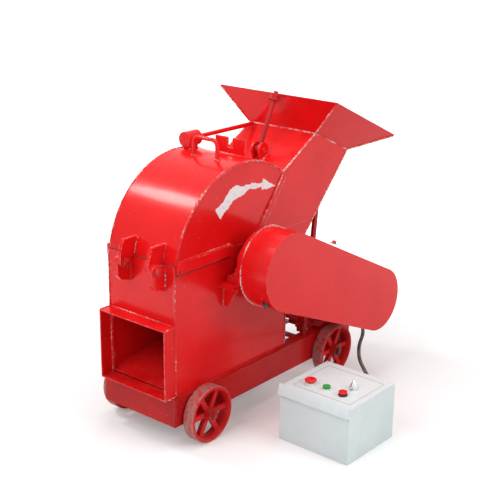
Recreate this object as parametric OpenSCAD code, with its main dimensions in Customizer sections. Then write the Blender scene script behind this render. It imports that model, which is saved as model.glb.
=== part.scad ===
// Mobile hammer crusher: a welded casing with a hinged hood, a chute with a flared
// hopper, a four-pin hammer rotor over a curved grate, a belt guard, a motor and a
// four-wheeled chassis, with its switch box standing beside it on a short cable.
// Measured from the rotor's axis: +X runs to the rear, -Y is the side of the belt guard.

/* [Casing] */
// Width of the casing over its side plates
casing_w = 306; // [280:2:340]
// Thickness of the casing's plates
plate_t = 6; // [5:1:8]
// Distance from the rotor's axis to the front wall
front_reach = 342; // [325:1:350]
// Distance from the rotor's axis to the rear wall
rear_reach = 240; // [236:1:246]
// Height of the rotor's axis above the ground
axis_h = 586; // [580:1:596]
// Height of the parting line above the ground
parting_h = 642; // [636:1:648]
// Height at which the sloping rear wall starts
rear_h = 475; // [470:1:480]

/* [Hood] */
// Outer radius of the hood's curved sheet
hood_r = 342; // [338:1:346]
// Gap along the parting line
parting_gap = 1; // [1:0.5:2]
// Height of the skirt bar
skirt_h = 38; // [34:1:42]
// Thickness of the skirt bar
skirt_t = 12; // [8:1:12]
// How far the skirt bar laps below the parting line
skirt_lap = 24; // [20:1:28]
// Length of the skirt bar
skirt_len = 268; // [240:2:272]
// Diameter of the rod in the lifting handle
handle_d = 14; // [12:1:16]
// Spacing of the handle's feet
handle_span = 106; // [100:2:116]
// Height of the handle above its feet
handle_h = 66; // [56:2:74]
// Distance of the handle ahead of the rotor's axis
handle_x = 35; // [30:1:60]

/* [Hinge] */
// Distance of the hinge pins ahead of the front wall
hinge_out = 38; // [36:1:40]
// Depth of the hinge pins below the parting line
hinge_drop = 13; // [12:1:15]
// Diameter of the hinge bolts
hinge_d = 16; // [14:1:18]
// Distance between the two hinges
hinge_span = 130; // [120:2:150]
// Sideways place of the middle of the hinges
hinge_mid = -25; // [-35:1:0]
// Thickness of the hood's lugs
upper_lug_t = 12; // [10:1:14]
// Height of the hood's lugs above the hinge pins
upper_lug_h = 78; // [60:2:80]
// Thickness of the casing's lugs
lower_lug_t = 16; // [12:1:18]

/* [Latch] */
// Thickness of the latch plate
latch_t = 8; // [6:1:10]
// Width of the latch plate
latch_w = 134; // [120:2:140]
// Height of the latch plate above the hood's crown
latch_h = 62; // [58:1:63]
// Width of the slot that takes the swing bolt
latch_slot = 24; // [22:1:26]
// Distance of the latch plate behind the rotor's axis
latch_x = 86; // [80:1:92]
// Sideways place of the latch
latch_mid = -15; // [-20:1:-5]
// Diameter of the swing bolt
swing_d = 16; // [14:1:16]
// Length of the swing bolt from its pivot
swing_len = 217; // [216:1:220]
// Diameter of the pin in the swing bolt's eye
swing_pin_d = 14; // [12:1:14]

/* [Chute and hopper] */
// Distance behind the rotor's axis where the chute's front wall leaves the hood
chute_x = 212; // [208:1:214]
// Run of the chute's front wall
chute_run = 185; // [175:1:195]
// Slope of the chute's front wall in degrees
chute_angle = 30; // [28:1:32]
// Slope of the chute's rear wall in degrees
rear_angle = 47.4; // [46.8:0.2:48]
// Run of the chute's rear wall
rear_run = 361; // [350:1:370]
// Width of the hopper's rim
rim_w = 542; // [500:2:580]
// Height of the hopper above the chute's mouth, square to the mouth
hopper_h = 104; // [90:1:120]
// How far the rim's front edge flares out past the mouth
flare_front = 90; // [70:1:100]
// How far the rim's rear edge flares out past the mouth
flare_rear = 107; // [90:1:120]
// Thickness of the hopper's sheet
hopper_t = 3; // [3:0.5:5]

/* [Rotor] */
// Radius swept by the tips of the hammers
tip_r = 200; // [190:1:205]
// Diameter of the shaft between the discs
shaft_d = 60; // [56:1:64]
// Diameter of the shaft in the bearings
journal_d = 50; // [46:1:54]
// Radius of the rotor discs
disc_r = 118; // [112:1:122]
// Thickness of a rotor disc
disc_t = 14; // [12:1:16]
// Number of rotor discs
disc_n = 5; // [4:1:6]
// Diameter of the pins that carry the hammers
hammer_pin_d = 24; // [20:1:26]
// Radius of the circle of hammer pins
hammer_pin_r = 90; // [86:1:94]
// Thickness of a hammer
hammer_t = 34; // [28:1:36]
// Width of a hammer
hammer_w = 56; // [50:1:60]
// Running gap between the rotor and the side plates
rotor_gap = 9; // [7:1:12]

/* [Grate] */
// Gap between the hammer tips and the grate
grate_gap = 14; // [12:1:18]
// Radial depth of a grate bar
grate_bar_h = 18; // [16:1:22]
// Width of a grate bar
grate_bar_w = 14; // [12:1:16]
// Number of grate bars
grate_n = 15; // [13:1:17]

/* [Discharge] */
// Depth of the discharge box ahead of the front wall
box_out = 51; // [40:1:60]
// Height of the discharge box
box_h = 250; // [240:2:256]
// Thickness of the discharge box's sheet
box_t = 4; // [3:0.5:5]
// Rise of the discharge floor to the rear wall
floor_rise = 130; // [120:2:140]

/* [Bearings] */
// Width of a bearing housing along the shaft
bearing_w = 50; // [44:1:54]
// Length of a bearing housing's foot
bearing_len = 200; // [190:2:206]
// Height of the shaft above the bearing shelf
bearing_rise = 57; // [55:1:60]
// Outside radius of a bearing housing
bearing_r = 52; // [48:1:54]
// Gap between the side plate and the bearing housing
bearing_off = 14; // [12:1:18]
// Thickness of the bearing shelf
shelf_t = 12; // [10:1:14]
// Length of the bearing shelf
shelf_len = 254; // [240:2:260]
// Depth of the shelf's gussets
gusset_h = 74; // [70:2:100]

/* [Belt guard] */
// Radius of the guard round the rotor pulley
guard_r = 136; // [130:1:140]
// Radius of the guard round the motor pulley
guard_small_r = 120; // [114:1:124]
// Depth of the guard along the shaft
guard_w = 111; // [100:1:120]
// Thickness of the guard's sheet
guard_t = 3; // [2.5:0.5:4]
// Radius of the neck behind the guard
neck_r = 116; // [110:1:118]
// Length of the neck behind the guard
neck_w = 34; // [30:1:34]

/* [Motor] */
// Distance of the motor's axis behind the rotor's axis
motor_x = 551; // [546:1:556]
// Diameter of the motor's frame over its fins
motor_d = 216; // [206:2:220]
// Height of the motor's axis above its feet
motor_h = 132; // [130:1:134]
// Length of the motor's finned frame
motor_len = 190; // [180:2:210]
// Diameter of the motor's shaft
motor_shaft_d = 38; // [32:1:42]

/* [Chassis] */
// Height of the chassis channels
beam_h = 100; // [96:1:100]
// Width of a channel's flanges
beam_w = 48; // [44:1:52]
// Thickness of a channel's web and flanges
beam_t = 5; // [4:0.5:6]
// Width of the chassis over the channels' webs
chassis_w = 336; // [332:2:340]
// How far the channels reach ahead of the front wall
beam_front = 16; // [10:1:20]
// How far the channels reach behind the rotor's axis
beam_rear = 640; // [630:2:650]

/* [Wheels] */
// Diameter of a wheel
wheel_d = 200; // [196:2:204]
// Width of a wheel's tread
wheel_w = 46; // [42:1:48]
// Radial thickness of the wheel's rim
wheel_rim = 11; // [9:1:13]
// Number of spokes
spoke_n = 6; // [5:1:8]
// Diameter of a wheel's hub
hub_d = 46; // [42:1:52]
// Diameter of the axles
axle_d = 20; // [18:1:20]
// Distance of the front axle ahead of the rotor's axis
front_axle_x = 231; // [225:1:236]
// Distance of the rear axle behind the rotor's axis
rear_axle_x = 490; // [484:1:496]

/* [Switch box] */
// Size of the switch box along X
switch_l = 270; // [260:2:280]
// Size of the switch box along Y
switch_w = 285; // [280:1:290]
// Height of the switch box
switch_h = 200; // [194:1:204]
// Thickness of the switch box's sheet
switch_t = 2; // [1.5:0.5:3]
// Distance of the switch box's front side ahead of the rotor's axis
switch_x = 66; // [60:1:72]
// Distance of the switch box from the machine's middle plane
switch_y = 377; // [374:1:384]
// Diameter of a push button's cap
button_d = 28; // [24:1:30]
// Travel of a push button
button_travel = 4; // [3:0.5:5]
// Diameter of a button's stem
stem_d = 22; // [20:1:24]
// Distance of the row of buttons from the lid's front edge
button_x = 79; // [70:1:90]
// Distance of the first button from the lid's near edge
button_y = 82; // [70:1:90]
// Spacing of the buttons
button_pitch = 67; // [60:1:70]
// Distance of the selector behind the row of buttons
knob_x = 62; // [50:1:80]

/* [Hidden] */
$fn = 64;

// Clearances: a running fit, a touching piece on another body, and free movement
fit = 0.05;
seat = 0.3;
free = 5;

half_w = casing_w / 2;
inner_w = casing_w - 2 * plate_t;
beam_top = wheel_d / 2 - axle_d / 2 - 1 - beam_t + beam_h;
beam_bottom = beam_top - beam_h;
axle_z = wheel_d / 2;
web_y = chassis_w / 2;
wheel_y = web_y + 4;
front_x = -front_reach;
rear_x = rear_reach;

grate_span = 150;
rail_t = 12;
// Rails under the motor
motor_rail_t = 14;
rail_w = 40;
rail_pitch = 140;
tension_y = 120;

liner_gap = 0.1;

strut_y = 140;
strut_w = 13;
strut_foot = 115;
strut_rise = 0.5;

// Corners of the chute in the side view
chute_foot = [chute_x, axis_h + sqrt(hood_r * hood_r - chute_x * chute_x)];
mouth_front = chute_foot + chute_run * [1, tan(chute_angle)];
rear_foot = [rear_x, rear_h];
mouth_rear = rear_foot + rear_run * [1, tan(rear_angle)];
mouth_dir = (mouth_rear - mouth_front) / norm(mouth_rear - mouth_front);
mouth_up = [-mouth_dir[1], mouth_dir[0]];
rim_front = mouth_front + hopper_h * mouth_up - flare_front * mouth_dir;
rim_rear = mouth_rear + hopper_h * mouth_up + flare_rear * mouth_dir;
// The seam between hood and chute runs from the chute's foot down to the parting line
seam_x = 46;
parting_rear_x = rear_x + (parting_h - rear_h) / tan(rear_angle);
hood_top = axis_h + hood_r;

far_bar_len = chute_x + 96;

// Hinge axis, swing bolt pivot and lid hinge
hinge = [front_x - hinge_out, parting_h - hinge_drop];
lug_r = 22;
swing_pivot = [chute_x + 36, chute_foot[1] + 36 * tan(chute_angle) + 32];
swing_rest = 65;
nut_h = 16;
nut_r = 19;
washer_h = 4;

// Sideways places of bearing, guard, shaft and motor, all on the near side
bearing_y = half_w + bearing_off + bearing_w / 2;
neck_y = half_w + bearing_off + bearing_w + 4;
guard_back = neck_y + neck_w;
guard_front = guard_back + guard_w;
guard_drop = axis_h - (beam_top + motor_rail_t + motor_h);

// The whole machine is set on its origin: the middle of its plan, on the ground
x_low = min(front_x - box_out, front_x - hinge_out - lug_r);
x_high = rim_rear[0];
y_low = -(switch_y + switch_w);
y_high = rim_w / 2;
origin_x = (x_low + x_high) / 2;
origin_y = (y_low + y_high) / 2;

// Seats a piece drawn about the rotor's axis on the machine's origin
module placed() {
    translate([-origin_x, -origin_y, 0]) children();
}

// Extrudes a side-view profile between two sideways places
module across(y0, y1) {
    translate([0, y1, 0]) rotate([90, 0, 0]) linear_extrude(y1 - y0) children();
}

// Round bar along Y between two sideways places, at a side-view point
module bar_y(p, r, y0, y1) {
    translate([p[0], y1, p[1]]) rotate([90, 0, 0]) cylinder(r = r, h = y1 - y0);
}

// Puts the same piece on both sides of the machine's middle plane
module both_sides() {
    children();
    mirror([0, 1, 0]) children();
}

// Rolled channel lying along X with its web outside
module beam() {
    length = beam_rear - front_x + beam_front;
    difference() {
        translate([front_x - beam_front, web_y - beam_w, beam_bottom])
            cube([length, beam_w, beam_h]);
        translate([front_x - beam_front - 1, web_y - beam_w - 1, beam_bottom + beam_t])
            cube([length + 2, beam_w - beam_t + 1, beam_h - 2 * beam_t]);
        for (x = [-front_axle_x, rear_axle_x])
            bar_y([x, axle_z], axle_d / 2 + fit, web_y - beam_t - 1, web_y + 1);
    }
}

module chassis_beams() {
    color("firebrick") both_sides() beam();
}

// Plates that tie the two channels together, the front one closing their ends
module cross_members() {
    inner = web_y - beam_w;
    color("firebrick") {
        translate([front_x - beam_front - beam_t, -web_y, beam_bottom])
            cube([beam_t, 2 * web_y, beam_h]);
        for (x = [front_x + 60, rear_x - 40, beam_rear - 20])
            translate([x, -inner, beam_bottom]) cube([beam_t, 2 * inner, beam_h]);
    }
}

// Round axles, each with a washer and a split pin outside its wheels
module axles() {
    end = wheel_y + wheel_w + 14;
    color("dimgray") for (x = [-front_axle_x, rear_axle_x]) {
        difference() {
            bar_y([x, axle_z], axle_d / 2, -end, end);
            for (side = [-1, 1])
                translate([x, side * (end - 6), axle_z - axle_d])
                    cylinder(d = 5, h = 2 * axle_d);
        }
        both_sides() {
            difference() {
                bar_y([x, axle_z], hub_d / 2, wheel_y + wheel_w + 1, wheel_y + wheel_w + 4);
                bar_y([x, axle_z], axle_d / 2, wheel_y + wheel_w, wheel_y + wheel_w + 5);
            }
            translate([x, end - 6, axle_z - axle_d / 2 - 6]) cylinder(d = 4.6, h = axle_d + 12);
        }
    }
}

// Cast wheel: rim with a raised inner bead, T-section spokes and a bored hub
module wheel() {
    r = wheel_d / 2;
    difference() {
        union() {
            rotate_extrude() polygon([[r - wheel_rim, 0], [r - 3, 0], [r, 3],
                [r, wheel_w - 3], [r - 3, wheel_w], [r - wheel_rim, wheel_w],
                [r - wheel_rim - 4, wheel_w / 2 + 9], [r - wheel_rim - 4, wheel_w / 2 - 5]]);
            cylinder(d = hub_d, h = wheel_w);
            for (i = [0 : spoke_n - 1]) rotate(i * 360 / spoke_n) {
                translate([hub_d / 2 - 6, -9, wheel_w / 2 - 2])
                    cube([r - wheel_rim / 2 - hub_d / 2 + 6, 18, 8]);
                translate([hub_d / 2 - 6, -3.5, 8])
                    cube([r - wheel_rim / 2 - hub_d / 2 + 6, 7, wheel_w / 2 - 8]);
            }
        }
        translate([0, 0, -1]) cylinder(d = axle_d + 2 * fit, h = wheel_w + 2);
    }
}

module placed_wheel(x, side) {
    color("firebrick") translate([x, side * wheel_y, axle_z]) rotate([-90 * side, 0, 0]) wheel();
}

module wheel_front_near() {
    placed_wheel(-front_axle_x, -1);
}

module wheel_front_far() {
    placed_wheel(-front_axle_x, 1);
}

module wheel_rear_near() {
    placed_wheel(rear_axle_x, -1);
}

module wheel_rear_far() {
    placed_wheel(rear_axle_x, 1);
}

// Side plates of the lower casing, holed for the shaft
module casing_sides() {
    color("red") both_sides() difference() {
        across(half_w - plate_t, half_w)
            polygon([[front_x, beam_top], [rear_x, beam_top], rear_foot,
                [parting_rear_x, parting_h], [front_x, parting_h]]);
        bar_y([0, axis_h], journal_d / 2 + 10, half_w - plate_t - 1, half_w + 1);
    }
}

module casing_front() {
    color("red") difference() {
        translate([front_x, -inner_w / 2, beam_top])
            cube([plate_t, inner_w, parting_h - beam_top]);
        translate([front_x - 1, -inner_w / 2 + 4, beam_top + 4])
            cube([plate_t + 2, inner_w - 8, box_h - 4 - box_t]);
    }
}

module casing_rear() {
    color("red") translate([rear_x - plate_t, -inner_w / 2, beam_top])
        cube([plate_t, inner_w, rear_h - beam_top]);
}

// Open box of thin plates welded round the discharge mouth
module discharge_box() {
    color("red") difference() {
        translate([front_x - box_out, -half_w, beam_top + 2]) cube([box_out, casing_w, box_h]);
        translate([front_x - box_out - 1, -half_w + box_t, beam_top + 2 + box_t])
            cube([box_out + 2, casing_w - 2 * box_t, box_h - 2 * box_t]);
    }
}

// Sloping floor on which the crushed stone slides out
module discharge_floor() {
    rise_x = rear_x - plate_t;
    low = [front_x + plate_t, beam_top + 8];
    high = [rise_x, beam_top + 8 + floor_rise];
    color("firebrick") across(-inner_w / 2, inner_w / 2)
        polygon([low, high, high + [0, 5], low + [0, 5]]);
}

// Two rolled side rails of the grate, bent round under the hammers
module grate_rails() {
    color("dimgray") both_sides() translate([0, inner_w / 2, axis_h]) rotate([90, 0, 0])
        rotate(-90 - grate_span / 2) rotate_extrude(angle = grate_span)
            translate([tip_r + grate_gap, 0]) square([grate_bar_h + 8, rail_t]);
}

// Straight grate bars between the rails, wider at the face that the hammers sweep
module grate_bars() {
    r = tip_r + grate_gap;
    edge = inner_w / 2 - rail_t;
    color("dimgray") for (i = [0 : grate_n - 1]) {
        a = -90 - grate_span / 2 + 2 + i * (grate_span - 4) / (grate_n - 1);
        translate([0, 0, axis_h]) rotate([0, -a, 0]) across(-edge, edge)
            polygon([[r, -grate_bar_w / 2], [r, grate_bar_w / 2],
                [r + grate_bar_h, grate_bar_w / 2 - 2], [r + grate_bar_h, 2 - grate_bar_w / 2]]);
    }
}

// Wear plate that leads the stone from the front wall on to the grate
module liners() {
    r = tip_r + grate_gap;
    top = [front_x + plate_t, parting_h - 14];
    foot = [-(r + 2) * cos(15), axis_h - (r + 2) * sin(15) + 12];
    sill = [(r + 2) * cos(15), axis_h - (r + 2) * sin(15) + 8];
    wall = rear_foot + (sill[1] + 10 - rear_h) * [1 / tan(rear_angle), 1]
        - [plate_t / sin(rear_angle) + liner_gap, 0];
    color("dimgray") across(-inner_w / 2, inner_w / 2) {
        polygon([top, foot, foot + [-8, -9], top + [0, -14]]);
        polygon([sill, wall, wall - [8 / tan(rear_angle), 8], sill - [0, 6]]);
    }
}

// Shelf and two gussets that carry each bearing housing
module bearing_shelves() {
    top = axis_h - bearing_rise;
    depth = bearing_off + bearing_w + 2;
    color("red") both_sides() {
        translate([-shelf_len / 2, half_w, top - shelf_t]) cube([shelf_len, depth, shelf_t]);
        for (x = [-1, 1] * (shelf_len / 2 - 27))
            translate([x - 4, half_w, top - shelf_t]) rotate([0, 90, 0])
                linear_extrude(8)
                    polygon([[0, 0], [gusset_h, 0], [gusset_h, 18], [0, depth - 4]]);
    }
}

// Cast housing on a long foot, bored for the shaft and bolted down at both ends
module bearing() {
    foot_h = 24;
    y0 = bearing_y - bearing_w / 2;
    base = axis_h - bearing_rise;
    difference() {
        union() {
            bar_y([0, axis_h], bearing_r, y0, y0 + bearing_w);
            translate([-bearing_len / 2, y0, base]) cube([bearing_len, bearing_w, foot_h]);
            translate([-bearing_r, y0, base]) cube([2 * bearing_r, bearing_w, bearing_rise]);
        }
        bar_y([0, axis_h], journal_d / 2 + fit, y0 - 1, y0 + bearing_w + 1);
    }
    for (x = [-1, 1] * (bearing_len / 2 - 20)) {
        translate([x, bearing_y, base + foot_h]) cylinder(r = 13, h = 12, $fn = 6);
        translate([x, bearing_y, base + foot_h + 12]) cylinder(d = 14, h = 14);
    }
}

module bearings() {
    color("firebrick") both_sides() bearing();
}

module chute_sides() {
    foot = parting_h;
    color("red") both_sides() across(half_w - plate_t, half_w)
        polygon([[seam_x, foot], [parting_rear_x, foot], mouth_rear, mouth_front, chute_foot]);
}

// Wall plate of the chute laid along a side-view line, its thickness on the left hand and its
// end cut back where it meets the mouth
module wall_along(a, b) {
    d = (b - a) / norm(b - a);
    n = plate_t * [-d[1], d[0]];
    cut = max(0, n * mouth_up / (d * mouth_up));
    across(-inner_w / 2, inner_w / 2) polygon([a, b, b + n - cut * d, a + n]);
}

module chute_walls() {
    color("red") {
        wall_along(mouth_front, chute_foot);
        wall_along(rear_foot, mouth_rear);
    }
}

// Four-sided frustum over the chute's mouth, narrowed by an inset and run past its ends
module flare(inset, past) {
    ends = [-past, 1 + past];
    low = [mouth_front + inset * mouth_dir, mouth_rear - inset * mouth_dir];
    high = [rim_front + inset * mouth_dir, rim_rear - inset * mouth_dir];
    points = [for (k = ends, side = [-1, 1], i = [0, 1])
        let (p = low[i] + k * (high[i] - low[i]),
            y = half_w - inset + k * (rim_w / 2 - half_w))
        [p[0], side * y, p[1]]];
    polyhedron(points, [[0, 1, 3, 2], [4, 6, 7, 5], [0, 2, 6, 4], [1, 5, 7, 3],
        [0, 4, 5, 1], [2, 3, 7, 6]]);
}

module hopper() {
    color("red") difference() {
        flare(0, 0);
        flare(hopper_t * 1.4, 0.1);
    }
}

// Struts from the chassis to the back of the chute
module chute_strut() {
    top = rear_foot + strut_rise * (mouth_rear - rear_foot);
    foot = [rear_x + strut_foot, beam_top];
    color("firebrick") both_sides() across(strut_y, strut_y + strut_w)
        polygon([foot, foot + [20, 0], top + [11, 11 * tan(rear_angle)],
            top + [-8, -8 * tan(rear_angle)]]);
}

// Outline of the guard: two circles and their outer tangents
module guard_outline(inset) {
    hull() {
        circle(r = guard_r - inset, $fn = 64);
        translate([motor_x, -guard_drop]) circle(r = guard_small_r - inset, $fn = 64);
    }
}

// Sheet-metal belt guard with its neck round the shaft and two studs from the casing
module belt_guard() {
    color("red") translate([0, 0, axis_h]) {
        difference() {
            translate([0, -guard_back, 0]) rotate([90, 0, 0])
                linear_extrude(guard_w) guard_outline(0);
            translate([0, -guard_back - guard_t, 0]) rotate([90, 0, 0])
                linear_extrude(guard_w - 2 * guard_t) guard_outline(guard_t);
            bar_y([0, 0], journal_d / 2 + free, -guard_back - guard_t - 1, -guard_back + 1);
            bar_y([motor_x, -guard_drop], motor_shaft_d / 2 + free,
                -guard_back - guard_t - 1, -guard_back + 1);
        }
        for (p = [[165, -106], [210, 9]])
            bar_y(p, 12, -guard_back, -half_w);
        difference() {
            bar_y([0, 0], neck_r, -guard_back, -neck_y);
            bar_y([0, 0], neck_r - guard_t, -guard_back - 1, -neck_y - guard_t);
            bar_y([0, 0], journal_d / 2 + free, -guard_back - 1, -neck_y + 1);
        }
    }
}

// Thick lugs on the casing's front wall with the hinge bolts through them
module hinge_brackets() {
    for (side = [-1, 1]) {
        y = hinge_mid + side * (hinge_span / 2 + upper_lug_t / 2 + seat + lower_lug_t / 2);
        inner = hinge_mid + side * (hinge_span / 2 - upper_lug_t / 2 - 12);
        outer = hinge_mid + side * (hinge_span / 2 + upper_lug_t / 2 + lower_lug_t + 10);
        color("red") difference() {
            across(y - lower_lug_t / 2, y + lower_lug_t / 2) union() {
                translate(hinge) circle(r = lug_r);
                polygon([hinge + [-lug_r, 0], hinge + [-lug_r, -46], hinge + [-lug_r + 14, -62],
                    [front_x, hinge[1] - 76], [front_x, hinge[1] + 4], hinge + [6, lug_r - 1]]);
            }
            bar_y(hinge, hinge_d / 2, y - lower_lug_t, y + lower_lug_t);
        }
        color("dimgray") {
            bar_y(hinge, hinge_d / 2, min(inner, outer), max(inner, outer));
            bar_y(hinge, hinge_d * 0.85, min(outer, outer - side * 10), max(outer, outer - side * 10));
            bar_y(hinge, hinge_d * 0.85, min(inner, inner + side * 10), max(inner, inner + side * 10));
        }
    }
}

// Lugs of the hood that turn on the hinge bolts
module hood_lugs() {
    foot_z = parting_h + parting_gap;
    lug_top = hinge[1] + upper_lug_h;
    color("red") for (side = [-1, 1]) {
        y = hinge_mid + side * hinge_span / 2;
        difference() {
            across(y - upper_lug_t / 2, y + upper_lug_t / 2) difference() {
                union() {
                    translate(hinge) circle(r = lug_r - 2);
                    polygon([hinge + [-lug_r + 2, 0], hinge + [-lug_r + 2, 34],
                        hinge + [-4, upper_lug_h], [hood_front(lug_top), lug_top],
                        [hood_front(foot_z) + 2, foot_z], [front_x - free, foot_z],
                        hinge + [lug_r - 3, 2]]);
                }
                translate([0, axis_h]) circle(r = hood_r, $fn = 128);
            }
            bar_y(hinge, hinge_d / 2 + fit, y - upper_lug_t, y + upper_lug_t);
        }
    }
}

// Front of the hood's curve at a height
function hood_front(z) = -sqrt(hood_r * hood_r - (z - axis_h) * (z - axis_h));

// Side-view line of the hood's rear edge, a gap ahead of the chute's seam
function seam_point(z) = seam_x + (chute_foot[0] - seam_x) * (z - parting_h)
    / (chute_foot[1] - parting_h) - parting_gap * 1.4;

// Outline of the hood in the side view, cut at the parting line and along the seam
module hood_outline(r) {
    z = parting_h + parting_gap;
    intersection() {
        translate([0, axis_h]) circle(r = r, $fn = 128);
        polygon([[front_x - 50, z], [seam_point(z), z], [seam_point(hood_top), hood_top],
            [seam_point(hood_top), hood_top + 50], [front_x - 50, hood_top + 50]]);
    }
}

module hood_sheet() {
    color("red") across(-half_w, half_w) difference() {
        hood_outline(hood_r);
        translate([0, axis_h]) circle(r = hood_r - plate_t, $fn = 128);
    }
}

module hood_sides() {
    color("red") both_sides() across(half_w - plate_t, half_w) hood_outline(hood_r - plate_t);
}

// Bars welded outside the hood's side plates, lapping over the casing
module hood_skirts() {
    z0 = parting_h - skirt_lap;
    x0 = front_x + 4;
    color("red") both_sides() difference() {
        translate([x0, half_w, z0]) cube([skirt_len, skirt_t, skirt_h]);
        translate([x0 - 1, half_w - 1, z0 - 1])
            cube([skirt_len + 2, 1 + 2 * seat, skirt_lap + 1 + parting_gap]);
        bar_y([x0 + 8, z0 + 9], 4.5, half_w, half_w + skirt_t + 1);
    }
}

// U-shaped rod handle on the hood's crown
module hood_handle() {
    z0 = axis_h + sqrt(hood_r * hood_r - handle_x * handle_x);
    r = handle_d / 2;
    bend = 22;
    y0 = -10 - handle_span / 2;
    top = z0 + handle_h;
    color("red") difference() {
        translate([-handle_x, y0, 0]) {
            for (y = [0, handle_span])
                translate([0, y, z0 - 9]) cylinder(r = r, h = handle_h - bend + 9);
            translate([0, bend, top]) rotate([-90, 0, 0])
                cylinder(r = r, h = handle_span - 2 * bend);
            for (end = [0, 1])
                translate([0, end * handle_span + (1 - 2 * end) * bend, top - bend])
                    rotate([90, 0, end == 0 ? -90 : 90])
                        rotate_extrude(angle = 90) translate([bend, 0]) circle(r = r);
        }
        bar_y([0, axis_h], hood_r, y0 - 20, y0 + handle_span + 20);
    }
}

// Upright plate across the hood's crown with an open slot for the swing bolt
module latch_plate() {
    z0 = axis_h + sqrt(hood_r * hood_r - latch_x * latch_x) - 3;
    color("red") difference() {
        translate([latch_x, latch_mid - latch_w / 2, z0]) cube([latch_t, latch_w, latch_h]);
        translate([latch_x - 1, latch_mid - latch_slot / 2, z0 + 26])
            cube([latch_t + 2, latch_slot, latch_h]);
        bar_y([0, axis_h], hood_r, latch_mid - latch_w, latch_mid + latch_w);
    }
}

// Pair of round ears on the chute's front wall with the swing bolt's pin
module swing_ears() {
    ear_t = 8;
    gap = swing_d + 8;
    foot = [swing_pivot[0], chute_foot[1] + 36 * tan(chute_angle)];
    d = [cos(chute_angle), sin(chute_angle)];
    color("red") for (side = [-1, 1]) {
        y = latch_mid + side * (gap / 2 + ear_t / 2);
        across(y - ear_t / 2, y + ear_t / 2) difference() {
            union() {
                translate(swing_pivot) circle(r = 27);
                polygon([foot - 24 * d, foot + 24 * d, swing_pivot + 24 * d, swing_pivot - 24 * d]);
            }
            polygon([foot - 60 * d, foot + 60 * d, foot + 60 * d + [0, -60], foot - 60 * d + [0, -60]]);
            translate(swing_pivot) circle(d = swing_pin_d);
        }
    }
    color("dimgray") bar_y(swing_pivot, swing_pin_d / 2,
        latch_mid - gap / 2 - ear_t - 6, latch_mid + gap / 2 + ear_t + 6);
}

// Swing bolt with its eye, washer and nut, leaning back on the chute
module swing_bolt() {
    at = swing_len - 33;
    color("firebrick") translate([swing_pivot[0], latch_mid, swing_pivot[1]])
        rotate([0, -swing_rest, 0]) difference() {
            union() {
                rotate([90, 0, 0]) translate([0, 0, -swing_d / 2 - 1]) cylinder(r = 15, h = swing_d + 2);
                rotate([0, 90, 0]) cylinder(d = swing_d, h = swing_len);
                translate([at, 0, 0]) rotate([0, 90, 0]) cylinder(r = 22, h = washer_h);
                translate([at + washer_h, 0, 0]) rotate([0, 90, 0]) cylinder(r = nut_r, h = nut_h, $fn = 6);
            }
            rotate([90, 0, 0]) translate([0, 0, -20]) cylinder(d = swing_pin_d + 2 * fit, h = 40);
        }
}

// Round bar along the far side of the crown, held in a short pipe on a saddle
module far_bar() {
    pipe_r = 27;
    pipe_x = 5;
    pipe_len = 64;
    saddle_h = 6;
    z = hood_top + pipe_r + saddle_h;
    y = half_w - 28;
    color("red") {
        translate([pipe_x, y, z]) rotate([0, 90, 0]) cylinder(r = pipe_r, h = pipe_len);
        translate([pipe_x + pipe_len, y, z]) rotate([0, 90, 0]) cylinder(r = 8, h = far_bar_len);
        difference() {
            translate([pipe_x + 8, y - 12, hood_top - 8])
                cube([pipe_len - 16, 24, saddle_h + 8 + 4]);
            bar_y([0, axis_h], hood_r, y - 20, y + 20);
        }
    }
}

// Shaft turned down for its two bearings and the pulley end
module rotor_shaft() {
    inner = half_w - plate_t - 2;
    color("silver") {
        bar_y([0, axis_h], shaft_d / 2, -inner, inner);
        bar_y([0, axis_h], journal_d / 2, -guard_back - 60, -inner);
        bar_y([0, axis_h], journal_d / 2, inner, bearing_y + bearing_w / 2 + 8);
    }
}

function disc_y(i) = -(inner_w / 2 - rotor_gap) + i * (inner_w - 2 * rotor_gap - disc_t) / (disc_n - 1);

module rotor_discs() {
    color("dimgray") for (i = [0 : disc_n - 1]) difference() {
        bar_y([0, axis_h], disc_r, disc_y(i), disc_y(i) + disc_t);
        bar_y([0, axis_h], shaft_d / 2, disc_y(i) - 1, disc_y(i) + disc_t + 1);
        for (a = [45 : 90 : 315])
            bar_y([hammer_pin_r * cos(a), axis_h + hammer_pin_r * sin(a)], hammer_pin_d / 2 + fit,
                disc_y(i) - 1, disc_y(i) + disc_t + 1);
    }
}

module hammer_pins() {
    color("silver") for (a = [45 : 90 : 315])
        bar_y([hammer_pin_r * cos(a), axis_h + hammer_pin_r * sin(a)], hammer_pin_d / 2,
            disc_y(0), disc_y(disc_n - 1) + disc_t);
}

// Manganese hammers, one on each pin between each pair of discs
module hammers() {
    len = tip_r - hammer_pin_r;
    color("gray") for (i = [0 : disc_n - 2], a = [45 : 90 : 315]) {
        mid = (disc_y(i) + disc_t + disc_y(i + 1)) / 2;
        translate([0, mid + hammer_t / 2, axis_h]) rotate([90, 0, 0]) rotate(a)
            translate([hammer_pin_r, 0, 0]) linear_extrude(hammer_t) difference() {
                union() {
                    circle(d = hammer_w - 4);
                    translate([0, -hammer_w / 2 + 2]) square([len * 0.6, hammer_w - 4]);
                    polygon([[len * 0.4, -hammer_w / 2], [len * 0.93, -hammer_w / 2],
                        [len * 0.965, 0], [len * 0.93, hammer_w / 2], [len * 0.4, hammer_w / 2]]);
                }
                circle(r = hammer_pin_d / 2 + seat);
            }
    }
}

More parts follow.
